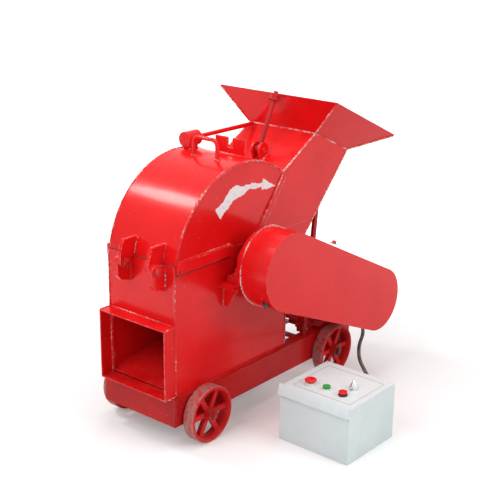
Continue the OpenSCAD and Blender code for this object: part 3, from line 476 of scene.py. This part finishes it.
def steel(name, colour, stain, rough, rust=0.3, dust=0.2, scale=70, metallic=0.85):
    """Bare steel: fine grain in the gloss, darker stain in patches, and brown where it is rusty."""
    material, tree, shader, place = start_material(name)
    cloud = noise(tree, place, scale, 5, 0.65)
    patch = noise(tree, place, 22, 4, 0.6)
    base = blended(tree, ramp(tree, cloud, 0.35, 0.75), colour, stain)
    brown = product(tree, ramp(tree, patch, 0.52, 0.72), rust)
    grime = dust_on(tree, dust, 0.5)
    tree.links.new(blended(tree, grime, blended(tree, brown, base, (0.20, 0.085, 0.045, 1)),
                           STONE_DUST), shader.inputs["Base Color"])
    shader.inputs["Metallic"].default_value = metallic
    tree.links.new(scaled(tree, cloud, 0.25, rough), shader.inputs["Roughness"])
    bump(tree, shader, cloud, 0.0004)
    return material


black_steel = steel("black_steel", (0.10, 0.095, 0.09, 1), (0.05, 0.045, 0.045, 1), 0.36, 0.35,
                    0.35)
axle_red = red_coat("axle_red", (0.52, 0.010, 0.011, 1), (0.12, 0.016, 0.015, 1), 0.36, 0.8, 0.03)
dress(axle_red, "plain_steel", "axles")

# Casing: six millimetre plates welded at their corners and to the chassis, sprayed glossy red,
# with pale specks along the weld beads that are partly primer showing in chips and partly painted
# glints.
casing_red = red_coat("casing_red", (0.80, 0.008, 0.010, 1), (0.73, 0.006, 0.007, 1), 0.18, 0.95,
                      0.02, coat=0.15, fleck=0.3)
inside_red = red_coat("inside_red", (0.46, 0.007, 0.008, 1), (0.30, 0.005, 0.006, 1), 0.4, 0.7,
                      0.08, reach=0.7, coat=0.05)
dress(casing_red, "red_paint", "casing_sides", "casing_front", "casing_rear", "discharge_box",
      "bearing_shelves", "chute_sides", "chute_walls", "hopper", "belt_guard", "hinge_brackets",
      "swing_ears", "far_bar", "hood_sheet", "hood_sides", "hood_skirts", "hood_handle",
      "latch_plate", "hood_lugs")
dress(inside_red, "dark_red_paint", "chute_strut")
dress(casing_red, "dark_red_paint", "discharge_floor")
PARTING = 642
FRONT_X = -342
REAR_X = 240
REAR_H = 475
HALF_W = 153
casing_lines = [[(FRONT_X, HALF_W, BEAM_TOP + 4), (FRONT_X, HALF_W, PARTING - 4)],
                [(REAR_X, HALF_W, BEAM_TOP + 4), (REAR_X, HALF_W, REAR_H)]]
make_piece("casing_welds", [weld(p, 7, 30 + i) for i, p in
                            enumerate(q for line in casing_lines for q in both(line))],
           weld_red, "frame")

# Discharge box: four strips of thin plate welded into a frame round the outlet, its corners left
# rough where the bead was ground by hand.
BOX_FRONT = -393
BOX_LOW = 186
BOX_TOP = 436
BOX_IN = HALF_W - 5
box_lines = [both([(BOX_FRONT + 1, HALF_W - 1, z), (FRONT_X, HALF_W - 1, z)])
             for z in (BOX_LOW + 1, BOX_TOP - 1)]
box_lines.append(both([(FRONT_X - 1, HALF_W, BOX_LOW + 6), (FRONT_X - 1, HALF_W, BOX_TOP - 6)]))
box_lines.append([[(FRONT_X - 1, -HALF_W + 3, BOX_TOP), (FRONT_X - 1, HALF_W - 3, BOX_TOP)]])
box_lines.append([[(FRONT_X - 3, y, BOX_LOW + 6), (FRONT_X - 3, y, BOX_TOP - 6)]
                  for y in (-BOX_IN, BOX_IN)])
make_piece("discharge_welds", [weld(p, 6, 50 + i) for i, p in
                               enumerate(q for group in box_lines for q in group)],
           weld_red, "frame")

# Grate, liners and rotor: dark rolled bars and wear plates, hammers of manganese steel worn bright
# at their ends, on ground pins between burnt-edge discs.
grate_steel = steel("grate_steel", (0.20, 0.19, 0.18, 1), (0.11, 0.10, 0.095, 1), 0.40, 0.5, 0.6)
hammer_steel = steel("hammer_steel", (0.34, 0.33, 0.32, 1), (0.20, 0.19, 0.185, 1), 0.34, 0.25, 0.5)
ground_steel = steel("ground_steel", (0.55, 0.54, 0.53, 1), (0.42, 0.41, 0.40, 1), 0.24, 0.12, 0.2)
dress(grate_steel, "plain_steel", "grate_rails", "grate_bars", "liners")
dress(hammer_steel, "hammer_steel", "hammers", "rotor_discs")
dress(ground_steel, "bright_steel", "rotor_shaft", "hammer_pins")


def turned(profile, at, axis, sides, turn=0.0):
    """Solid of revolution: at each (height, radius) of the profile, a ring of points at
    height along the axis and radius from it, with sides corners."""
    profile = np.asarray(profile, float)
    axis = np.asarray(axis, float) / np.linalg.norm(axis)
    across = np.cross(axis, (0, 0, 1) if abs(axis[2]) < 0.9 else (1, 0, 0))
    across /= np.linalg.norm(across)
    other = np.cross(axis, across)
    a = np.arange(sides) * 2 * np.pi / sides + turn
    ring = np.cos(a)[:, None] * across + np.sin(a)[:, None] * other
    rings = np.asarray(at, float) + profile[:, :1, None] * axis + profile[:, 1:, None] * ring[None]
    return skin(put(rings))


def hexagon_head(at, axis, size, height, turn=0.3):
    """Hexagon head or nut on a washer: radii size / sqrt 3 at the corners, chamfered at the top."""
    corner = size / math.sqrt(3)
    nut = [(1.6, corner * 0.97), (2.2, corner), (height - 1.2, corner), (height, corner * 0.88),
           (height + 0.3, corner * 0.5)]
    washer = [(0, size * 0.86), (0.2, size * 0.9), (1.8, size * 0.9), (2.2, size * 0.86)]
    return [turned(nut, at, axis, 6, turn), turned(washer, at, axis, 28)]


# Bearing housings: grey iron castings painted over with the machine, bolted down to their shelves,
# with a grease nipple on each cap.
bearing_red = red_coat("bearing_red", (0.70, 0.011, 0.013, 1), (0.52, 0.009, 0.010, 1), 0.38, 0.7,
                       0.04, coat=0.08)
dress(bearing_red, "red_paint", "bearings")
BEARING_Y = 192
BEARING_END = 217
bearing_bits = []
for side in (-1, 1):
    bearing_bits.append(turned([(0, 8), (5, 8), (5.5, 5), (12, 5), (12.5, 7), (15, 7), (19, 3.5),
                                (20, 1)], (0, side * BEARING_Y, AXIS_Z + 50), (0.2, 0, 1), 16))
    for x in (-42, 42):
        bearing_bits += hexagon_head((x, side * BEARING_END, AXIS_Z + 2), (0, side, 0), 13, 8)
make_piece("bearing_fittings", bearing_bits, black_steel, "frame")
SHELF_Z = 516
SHELF_HALF = 127
BEAD_Y = HALF_W + 1
shelf_lines = [both([(-SHELF_HALF, BEAD_Y, SHELF_Z + 1), (SHELF_HALF, BEAD_Y, SHELF_Z + 1)])]
shelf_lines += [both([(x, BEAD_Y, SHELF_Z - 1), (x, BEAD_Y, SHELF_Z - 72)])
                for x in (-105, -95, 95, 105)]
make_piece("shelf_welds", [weld(p, 6, 70 + i) for i, p in
                           enumerate(q for group in shelf_lines for q in group)],
           weld_red, "frame")

# Chute and hopper: plates folded and welded into a sloping duct, with a flared mouth of thin sheet
# whose corners are welded from outside.
FOOT = (212, 854.37)
MOUTH_FRONT = (397, 961.18)
MOUTH_REAR = (601, 867.58)
RIM_FRONT = (358.56, 1093.23)
RIM_REAR = (741.62, 917.49)
RIM_HALF = 269
chute_lines = both([(FOOT[0], HALF_W, FOOT[1]), (MOUTH_FRONT[0], HALF_W, MOUTH_FRONT[1])])
chute_lines += both([(REAR_X, HALF_W, REAR_H), (MOUTH_REAR[0], HALF_W, MOUTH_REAR[1])])
chute_lines += both([(MOUTH_FRONT[0], HALF_W, MOUTH_FRONT[1]),
                     (MOUTH_REAR[0], HALF_W, MOUTH_REAR[1])])
chute_lines += both([(MOUTH_FRONT[0], HALF_W, MOUTH_FRONT[1]),
                     (RIM_FRONT[0], RIM_HALF, RIM_FRONT[1] - 4)])
chute_lines += both([(MOUTH_REAR[0], HALF_W, MOUTH_REAR[1]),
                     (RIM_REAR[0] - 3, RIM_HALF, RIM_REAR[1] - 3)])
chute_lines.append([(MOUTH_FRONT[0] - 1, y, MOUTH_FRONT[1]) for y in (-HALF_W + 3, HALF_W - 3)])
make_piece("chute_welds", [weld(p, 6, 90 + i) for i, p in enumerate(chute_lines)],
           worn_glinting_weld, "frame")
SEAM = np.array([(50, 646), (212, 853)], float)
seam_heading = (SEAM[1] - SEAM[0]) / np.linalg.norm(SEAM[1] - SEAM[0])
seam_across = np.array([seam_heading[1], -seam_heading[0]])


def bar_between(start, end, across, thick, low, high):
    """Flat bar from start to end in the side view, its width given across and its thickness from
    low to high along Y, its edges chamfered by 1 mm."""
    shape = np.array([(0.04, low), (0.96, low), (1, low + thick), (1, high - thick), (0.96, high),
                      (0.04, high), (0, high - thick), (0, low + thick)])
    rings = []
    for point in (start, end):
        flat = np.asarray(point, float) + shape[:, :1] * np.asarray(across, float)
        rings.append(np.stack([flat[:, 0], shape[:, 1], flat[:, 1]], -1))
    return skin(put(rings))


SEAM_BAR = 24
seam_bars = []
for side in (-1, 1):
    low, high = sorted((side * (HALF_W - 1), side * (HALF_W + 4)))
    seam_bars.append(bar_between(SEAM[0] + seam_heading * 4, SEAM[1] - seam_heading * 8,
                                 seam_across * SEAM_BAR, 1, low, high))
make_piece("seam_bars", seam_bars, casing_red, "frame")
seam_ends = [SEAM[0] + seam_heading * 4 + seam_across * SEAM_BAR,
             SEAM[1] - seam_heading * 8 + seam_across * SEAM_BAR]
seam_lines = both([(q[0], BEAD_Y, q[1]) for q in seam_ends])
seam_lines += both([(SEAM[0][0] + 4, HALF_W + 4, SEAM[0][1] + 5),
                    (SEAM[1][0] - 6, HALF_W + 4, SEAM[1][1] - 8)])
make_piece("seam_welds", [weld(p, 6, 110 + i) for i, p in enumerate(seam_lines)], worn_glinting_weld,
           "frame")

# Belt guard: sheet bent round both pulleys with a flat front, its rear rim turned out in a narrow
# lip that has lost paint, its pale specks partly painted glints, held by black bolts.
def guard_ring(radius_1, radius_2, reach, drop, count):
    """Outline round two circles joined by their outer tangents, worked out as count points of
    the first circle's open arc and as many of the second's."""
    gap = math.hypot(reach, drop)
    tilt = math.atan2(-drop, reach)
    lean = math.asin((radius_1 - radius_2) / gap)
    half = math.pi / 2 - lean
    first = np.linspace(tilt + half, tilt + 2 * math.pi - half, count)
    second = np.linspace(tilt - half, tilt + half, count)
    return np.vstack([np.stack([radius_1 * np.cos(first), radius_1 * np.sin(first)], -1),
                      np.stack([reach + radius_2 * np.cos(second),
                                -drop + radius_2 * np.sin(second)], -1)])


def guard_band(offset, y_low, y_high, edge):
    """Closed band: outline rings run across its thickness, from an inner to an outer offset."""
    out = []
    for grow, y in ((0, y_low), (offset - edge, y_low), (offset, y_low + edge),
                    (offset, y_high - edge), (offset - edge, y_high), (0, y_high)):
        flat = guard_ring(136 + grow, 120 + grow, 551, AXIS_Z - 330, 48)
        out.append(np.stack([flat[:, 0], np.full(len(flat), y), AXIS_Z + flat[:, 1]], -1))
    return np.array(out)


def hoop(rings):
    """Tube that closes on itself both ways: point k of a ring joins point k + 1, and each ring
    the next, the last ring the first. Its faces are turned outwards by the volume's sign."""
    n, m = rings.shape[:2]
    ring, side = np.meshgrid(np.arange(n), np.arange(m), indexing="ij")
    a = ring * m + side
    b = ring * m + (side + 1) % m
    c = ((ring + 1) % n) * m + (side + 1) % m
    d = ((ring + 1) % n) * m + side
    faces = np.stack([a, b, c, d], -1).reshape(-1, 4)
    points = rings.reshape(-1, 3)
    p = points - points.mean(0)
    volume = (np.einsum("ij,ij->i", p[faces[:, 0]], np.cross(p[faces[:, 1]], p[faces[:, 2]]))
              + np.einsum("ij,ij->i", p[faces[:, 0]], np.cross(p[faces[:, 2]], p[faces[:, 3]]))).sum()
    return points, faces if volume > 0 else faces[:, ::-1]


GUARD_BACK = -255
lip = guard_band(5, GUARD_BACK - 4, GUARD_BACK, 1.2)
make_piece("guard_lip", hoop(put(lip)), worn_glinting_weld, "frame")
top_nut, top_washer = hexagon_head((246, -356, 624.5), (0.445, 0, 0.896), 14, 12)
guard_bolts = [top_washer] + hexagon_head((-103.4, -341, 495.7), (-0.753, 0, -0.658), 14, 11)
make_piece("guard_bolts", guard_bolts, black_steel, "frame")
make_piece("guard_nut", [top_nut], casing_red, "frame")

# Motor: an ordinary foot-mounted motor sprayed the same red, with cooling fins, a fan cowl with
# slots and a terminal box, on two rails with a tension bolt.
motor_red = red_coat("motor_red", (0.62, 0.010, 0.012, 1), (0.46, 0.008, 0.009, 1), 0.36, 0.6, 0.08,
                     reach=0.6, coat=0.08)
dress(motor_red, "dark_red_paint", "motor")
MOTOR_X = 551
MOTOR_Z = 330
FOOT_TOP = 216
FLANGE_Y = -207
FLANGE_BOLTS_R = 84
TERMINAL_X = 693
motor_bits = []
for x in (MOTOR_X - 88, MOTOR_X + 88):
    for y in (-140, -40):
        motor_bits += hexagon_head((x, y, FOOT_TOP), (0, 0, 1), 19, 13)
for angle in np.radians(np.arange(45, 405, 90)):
    motor_bits += hexagon_head((MOTOR_X + FLANGE_BOLTS_R * np.cos(angle), FLANGE_Y,
                                MOTOR_Z + FLANGE_BOLTS_R * np.sin(angle)), (0, -1, 0), 10, 7)
for y in (-120, -52):
    for z in (MOTOR_Z - 28, MOTOR_Z + 28):
        motor_bits += hexagon_head((TERMINAL_X, y, z), (1, 0, 0), 8, 5)
make_piece("motor_bolts", motor_bits, black_steel, "frame")
COWL_Y = 91.6
cowl_rings = []
for radius in (26, 42, 58, 74, 90):
    a = np.linspace(0, 2 * np.pi, 65)[:-1]
    loop = np.stack([MOTOR_X + radius * np.cos(a), np.full(64, COWL_Y),
                     MOTOR_Z + radius * np.sin(a)], -1)
    spoke = np.stack([np.cos(a), np.zeros(64), np.sin(a)], -1)
    c = np.arange(8) * np.pi / 4
    tube = (loop[:, None] + 2.2 * (np.cos(c)[None, :, None] * spoke[:, None]
                                   + np.sin(c)[None, :, None] * np.array([0, 1, 0])))
    cowl_rings.append(hoop(put(tube)))
make_piece("fan_grille", cowl_rings, motor_red, "frame")

# Hinge: two thick pairs of lugs on the front wall, welded all round, with plain bolts and nuts
# that carry old paint.
old_bolt = red_coat("old_bolt", (0.60, 0.012, 0.012, 1), (0.30, 0.012, 0.012, 1), 0.34, 1.0, 0.03,
                    coat=0.1)
HINGE = (-380, 629)
PAIR_Y = -25
PAIR_HALF = 65
LUG_HALF = 6
BRACKET_T = 16
hinge_bits = []
hinge_welds = []
for side in (-1, 1):
    outer = PAIR_Y + side * (PAIR_HALF + LUG_HALF + BRACKET_T + 10)
    inner = PAIR_Y + side * (PAIR_HALF - LUG_HALF - 12)
    hinge_bits += hexagon_head((HINGE[0], outer - side * 9, HINGE[1]), (0, side, 0), 20, 13)
    hinge_bits += hexagon_head((HINGE[0], inner + side * 8, HINGE[1]), (0, -side, 0), 20, 12)
    middle = PAIR_Y + side * (PAIR_HALF + LUG_HALF + 0.3 + BRACKET_T / 2)
    for y in (middle - BRACKET_T / 2, middle + BRACKET_T / 2):
        hinge_welds.append([(FRONT_X - 1, y, HINGE[1] + 2), (FRONT_X - 1, y, HINGE[1] - 74)])
make_piece("hinge_bolts", hinge_bits, old_bolt, "frame")
make_piece("hinge_welds", [weld(p, 8, 130 + i) for i, p in enumerate(hinge_welds)], weld_red,
           "frame")

# Hood: a rolled sheet between two half-round side plates, welded along the whole arch, with
# a stiffening bar low on each side and a rod handle on its crown.
HOOD_R = 342
arch_start = math.asin((PARTING + 3 - AXIS_Z) / HOOD_R)
arch_end = math.asin((851 - AXIS_Z) / HOOD_R)
arch = np.linspace(math.pi - arch_start, arch_end, 300)
arch_line = np.stack([(HOOD_R - 1.5) * np.cos(arch), np.full(300, float(HALF_W)),
                      AXIS_Z + (HOOD_R - 1.5) * np.sin(arch)], -1)
hood_lines = both(arch_line)
hood_lines += both([(-332, 154.5, 657), (-70, 154.5, 657)])
LUG_EDGES = [PAIR_Y + side * PAIR_HALF + edge for side in (-1, 1) for edge in (-LUG_HALF, LUG_HALF)]
hood_lines += [[(-337, y, 645), (-332, y, 668), (-326, y, 690), (-320, y, 707)]
               for y in LUG_EDGES]
make_piece("hood_welds", [weld(p, 8, 150 + i) for i, p in enumerate(hood_lines)], weld_red, "hood")
HANDLE_X = -35
foot_z = AXIS_Z + math.sqrt(HOOD_R ** 2 - HANDLE_X ** 2)
circle = np.linspace(0, 2 * np.pi, 40)
foot_beads = [weld(np.stack([HANDLE_X + 8 * np.cos(circle), y + 8 * np.sin(circle),
                             np.full(40, foot_z + 0.5)], -1), 8, 170 + i)
              for i, y in enumerate((-63, 43))]
make_piece("handle_welds", foot_beads, weld_red, "hood")

# Painted shade: a near-black strip in the gap where the hood closes on the front wall, and a thin
# near-black strip on the casing's sides just below the two skirt bars, the painted shadow of the
# bars.
shade_strip_paint = rubber("painted_gap_shade", (0.010, 0.004, 0.004, 1))
shade_strips = [bar_between((-336.5, PARTING + 0.2), (-336.5, PARTING + 2.2), (-4.0, 0), 0.5,
                           -HALF_W + 2, HALF_W - 2)]
for side in (-1, 1):
    # Painted shadow under each skirt bar, a thin near-black strip on the casing's side.
    low, high = sorted((side * (HALF_W + 0.05), side * (HALF_W + 0.5)))
    shade_strips.append(bar_between((-338, 613.2), (-68, 613.2), (0, -5.2), 0.1, low, high))
make_piece("painted_shade_strips", shade_strips, shade_strip_paint, "frame")

# Turning arrow: sprayed through a rough stencil in white on the hood's side, with ragged edges
# where the paint crept, along the way the rotor runs.
def arrow_patch(centre, seed):
    """Curved band with a head, as left and right edges of a centre line in the side view. A point
    is centre + across (half + unevenness), the half width taken along X from tail to tip."""
    chance = np.random.default_rng(seed)
    rag = [np.convolve(chance.normal(0, 1, len(centre) + 12), np.ones(13) / 13, "valid")
           + 0.10 * chance.normal(0, 1, len(centre)) for _ in range(2)]
    half = np.interp(centre[:, 0], (-135, -60, -20, 0, 94, 98, 169), (21, 24, 20, 12, 10, 23, 0.6))
    heading = np.gradient(centre, axis=0)
    heading /= np.linalg.norm(heading, axis=1)[:, None]
    across = np.stack([-heading[:, 2], heading[:, 1], heading[:, 0]], -1)
    uneven = 12 * np.minimum(1, half / 14)
    return (centre + across * (half + uneven * rag[0])[:, None],
            centre - across * (half + uneven * rag[1])[:, None])


ARROW = [(x, -HALF_W - 0.7, z) for x, z in ((-135, 775), (-60, 826), (-15, 830), (32, 836),
                                            (100, 828), (169, 812))]
left_edge, right_edge = arrow_patch(smooth_route(ARROW, 32), 7)
share = np.linspace(0, 1, 9)[None, :, None]
face = left_edge[:, None] * (1 - share) + right_edge[:, None] * share
back = face + [0, 0.9, 0]
arrow_rings = np.concatenate([face, back[:, ::-1]], axis=1)
arrow_white, arrow_tree, arrow_shader, arrow_place = start_material("stencil_white")
arrow_cloud = ramp(arrow_tree, noise(arrow_tree, arrow_place, 70, 6, 0.7), 0.52, 0.68)
arrow_tree.links.new(blended(arrow_tree, arrow_cloud, (0.86, 0.85, 0.85, 1), (0.74, 0.62, 0.61, 1)),
                     arrow_shader.inputs["Base Color"])
arrow_tree.links.new(scaled(arrow_tree, arrow_cloud, 0.2, 0.4),
                     arrow_shader.inputs["Roughness"])
make_piece("turning_arrow", skin(put(arrow_rings)),
           arrow_white, "hood")

# Latch: an upright plate with an open slot, and a swing bolt that pivots in two round ears on the
# chute, with a washer and a nut that clamp the hood.
dress(old_bolt, "red_paint", "swing_bolt")
LATCH_X = 90
latch_z = AXIS_Z + math.sqrt(HOOD_R ** 2 - LATCH_X ** 2)
latch_lines = [[(LATCH_X + off, y, latch_z + up) for y in (-80, 50)]
               for off, up in ((-4, 1), (4, -1))]
make_piece("latch_welds", [weld(p, 8, 190 + i) for i, p in enumerate(latch_lines)], weld_red,
           "hood")
EAR_X = 248
EAR_Z = FOOT[1] + 36 * math.tan(math.radians(30))
slope = np.array([math.cos(math.radians(30)), math.sin(math.radians(30))])
EAR_Y = -15
ear_lines = []
for y in (EAR_Y - 12, EAR_Y - 20, EAR_Y + 12, EAR_Y + 20):
    ear_lines.append([(EAR_X - 24 * slope[0], y, EAR_Z - 24 * slope[1]),
                      (EAR_X + 24 * slope[0], y, EAR_Z + 24 * slope[1])])
make_piece("ear_welds", [weld(p, 9, 200 + i) for i, p in enumerate(ear_lines)], weld_red, "frame")
make_piece("saddle_welds", [weld([(13, y, 929), (61, y, 924)], 7, 210 + i)
                            for i, y in enumerate((113, 137))], weld_red, "hood")

# Switch box: a small sheet-steel box painted off-white, standing on the ground beside the machine,
# with a drip lip along its front and a shallow lid that carries three push buttons and a turning
# selector.
def box_coat(name, colour, shade):
    """Off-white enamel: faint clouds, grey scuffs at its edges and dust near the ground."""
    material, tree, shader, place = start_material(name)
    wear = add(tree, "ShaderNodeGroup", [("Radius", 0.003), ("Scale", 120), ("Amount", 0.45)],
               node_tree=edge_group)
    film = add(tree, "ShaderNodeGroup", [("Scale", 7.0)], node_tree=skin_group)
    tone = blended(tree, ramp(tree, film.outputs["Tone"], 0.3, 0.7), colour, shade)
    scuffed = blended(tree, wear.outputs["Chips"], tone, (0.36, 0.35, 0.34, 1))
    tree.links.new(blended(tree, dust_on(tree, 0.10, 0.12), scuffed, STONE_DUST),
                   shader.inputs["Base Color"])
    tree.links.new(scaled(tree, film.outputs["Tone"], 0.15, 0.32),
                   shader.inputs["Roughness"])
    shader.inputs["Specular IOR Level"].default_value = 0.2
    shader.inputs["Coat Weight"].default_value = 0.04
    shader.inputs["Coat Roughness"].default_value = 0.2
    bump(tree, shader, film.outputs["Relief"], 0.0005)
    return material


box_white = box_coat("box_white", (0.74, 0.82, 0.83, 1), (0.69, 0.77, 0.78, 1))
# A dark grey copy of the box's enamel, used as painted shadow for the line round the lid.
painted_lid_shadow = box_coat("painted_lid_shadow", (0.30, 0.33, 0.34, 1), (0.22, 0.25, 0.26, 1))
dress(box_white, "box_white", "switch_box", "switch_lid")


def plastic(name, colour, rough):
    """Moulded plastic: fine cloud in the gloss, thumb marks and a little dust."""
    material, tree, shader, place = start_material(name)
    cloud = noise(tree, place, 150, 4, 0.6)
    darker = tuple(c * 0.75 for c in colour[:3]) + (1,)
    tone = blended(tree, ramp(tree, cloud, 0.4, 0.8), colour, darker)
    tree.links.new(blended(tree, dust_on(tree, 0.04, 0.5), tone, STONE_DUST),
                   shader.inputs["Base Color"])
    tree.links.new(scaled(tree, cloud, 0.2, rough), shader.inputs["Roughness"])
    bump(tree, shader, cloud, 0.0001)
    return material


button_red = plastic("button_red", (0.84, 0.006, 0.008, 1), 0.18)
button_green = plastic("button_green", (0.01, 0.40, 0.06, 1), 0.18)
switch_white = plastic("switch_white", (0.80, 0.82, 0.82, 1), 0.3)
switch_black = plastic("switch_black", (0.02, 0.02, 0.022, 1), 0.35)
switch_chrome = steel("switch_chrome", (0.70, 0.70, 0.70, 1), (0.60, 0.60, 0.60, 1), 0.16, 0.0, 0.1,
                      metallic=1.0)
dress(button_red, "red_plastic", "stop_button", "emergency_button")
dress(button_green, "green_plastic", "start_button")
dress(switch_chrome, "knob_metal", "selector_knob")
BOX_WEST = -66
BOX_NEAR = -662
BOX_FAR = -377
LID_Z = 200
BUTTON_X = BOX_WEST + 79
BUTTON_Y = [BOX_NEAR + 82 + i * 67 for i in range(3)]
SELECTOR_X = BUTTON_X + 62
UP = (0, 0, 1)


def collar(at, inner, outer, height):
    """Ring round a button: revolve of a rounded rectangle between two radii."""
    a = np.arange(48) * 2 * np.pi / 48
    shape = np.array([(inner, 0), (outer, 0), (outer, height * 0.6), (outer - 1, height),
                      (inner + 0.6, height)])
    ring = np.stack([np.cos(a), np.sin(a), np.zeros(48)], -1)
    rings = np.asarray(at, float) + ring[:, None] * shape[None, :, :1] \
        + np.array([0, 0, 1.0]) * shape[None, :, 1:]
    return hoop(put(rings))


make_piece("button_collars", [collar((BUTTON_X, BUTTON_Y[2], LID_Z), 11.4, 18, 7),
                              collar((BUTTON_X, BUTTON_Y[1], LID_Z), 11.4, 15.5, 6),
                              collar((SELECTOR_X, BUTTON_Y[0], LID_Z), 13.6, 17, 2.4)],
           switch_white, "lid")
make_piece("black_collar", [collar((BUTTON_X, BUTTON_Y[0], LID_Z), 11.4, 16, 4.7)], switch_black,
           "lid")
emergency_head = make_piece(
    "emergency_head", turned([(-24, 11), (9.0, 11), (9.2, 14), (9.8, 15), (13.6, 15), (15, 13.6),
                              (15.4, 9), (15.5, 1)], (BUTTON_X, BUTTON_Y[0], LID_Z), UP, 48),
    button_red, "emergency")
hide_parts("emergency_button")
start_head = make_piece(
    "start_head", turned([(-24, 11), (10.4, 11), (10.6, 13), (11.2, 13.8), (13.6, 13.8),
                          (14.4, 12.8), (14.1, 9), (13.9, 1)],
                         (BUTTON_X, BUTTON_Y[1], LID_Z), UP, 48),
    button_green, "start")
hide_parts("start_button")
stop_head = make_piece(
    "stop_head", turned([(-24, 11), (11.4, 11), (11.7, 15), (12.2, 19.6), (13.4, 20.8),
                         (16.0, 20.8), (18.6, 19), (20.2, 14), (20.9, 7), (21, 1)],
                        (BUTTON_X, BUTTON_Y[2], LID_Z), UP, 48), button_red, "stop")
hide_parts("stop_button")
selector_head = make_piece(
    "selector_head", [turned([(-24, 11), (2.8, 11), (3.2, 13), (3.6, 15.5), (6, 15.5), (18, 9.5),
                              (33, 3.4), (34.2, 2.4), (34.6, 0.8)],
                             (SELECTOR_X, BUTTON_Y[0], LID_Z), UP, 40),
                      turned([(0, 2.6), (1, 3.4), (17, 3.4), (18, 2.6)],
                             (SELECTOR_X - 6, BUTTON_Y[0], LID_Z + 8.5), (-1, 0, 0.1), 16)],
    switch_chrome, "selector")
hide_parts("selector_knob")
lip_shape = np.array([(-66.3, 209), (-68.0, 211), (-69.6, 209.6), (-80.5, 173.5), (-79.0, 171),
                      (-66.3, 171.6)])
lip_ends = (BOX_NEAR - 1.4, BOX_NEAR + 0.5, BOX_FAR - 0.5, BOX_FAR + 1.4)
lip_rows = np.array([[(x, y, z) for x, z in lip_shape] for y in lip_ends])
lip_middle = lip_rows[[1, -2]].mean(1, keepdims=True)
lip_rows[[0, -1]] += (lip_middle - lip_rows[[1, -2]]) * [0.12, 0, 0.03]
make_piece("drip_lip", skin(put(lip_rows)), box_white, "frame")
# Painted shadow: a thin dark grey line round the lid, standing for the shade at the edge of a shallow
# lid.
FOLD_AT = (71, -522)
corner_turn = np.arange(32) * 2 * np.pi / 32
fold_x = FOLD_AT[0] + np.where(np.cos(corner_turn) > 0, 98, -98) + 5 * np.cos(corner_turn)
fold_y = FOLD_AT[1] + np.where(np.sin(corner_turn) > 0, 112, -112) + 5 * np.sin(corner_turn)
fold = np.stack([fold_x, fold_y], -1)
fold_out = np.stack([np.cos(corner_turn), np.sin(corner_turn)], -1)
fold_rings = np.stack([np.concatenate([fold + fold_out * out, np.full((32, 1), LID_Z + up)], -1)
                       for out, up in ((-0.8, 0.05), (0.8, 0.05), (0.5, 0.5), (-0.5, 0.5))], 1)
make_piece("lid_shadow_line", hoop(put(fold_rings)), painted_lid_shadow, "lid")
lid_screws = []
for x in (BOX_WEST + 12, BOX_WEST + 258):
    for y in (BOX_NEAR + 12, BOX_FAR - 12):
        lid_screws.append(turned([(-1, 4), (0.4, 4), (1.6, 3.2), (2.1, 1)], (x, y, LID_Z), UP, 20))
make_piece("lid_screws", lid_screws, switch_chrome, "lid")
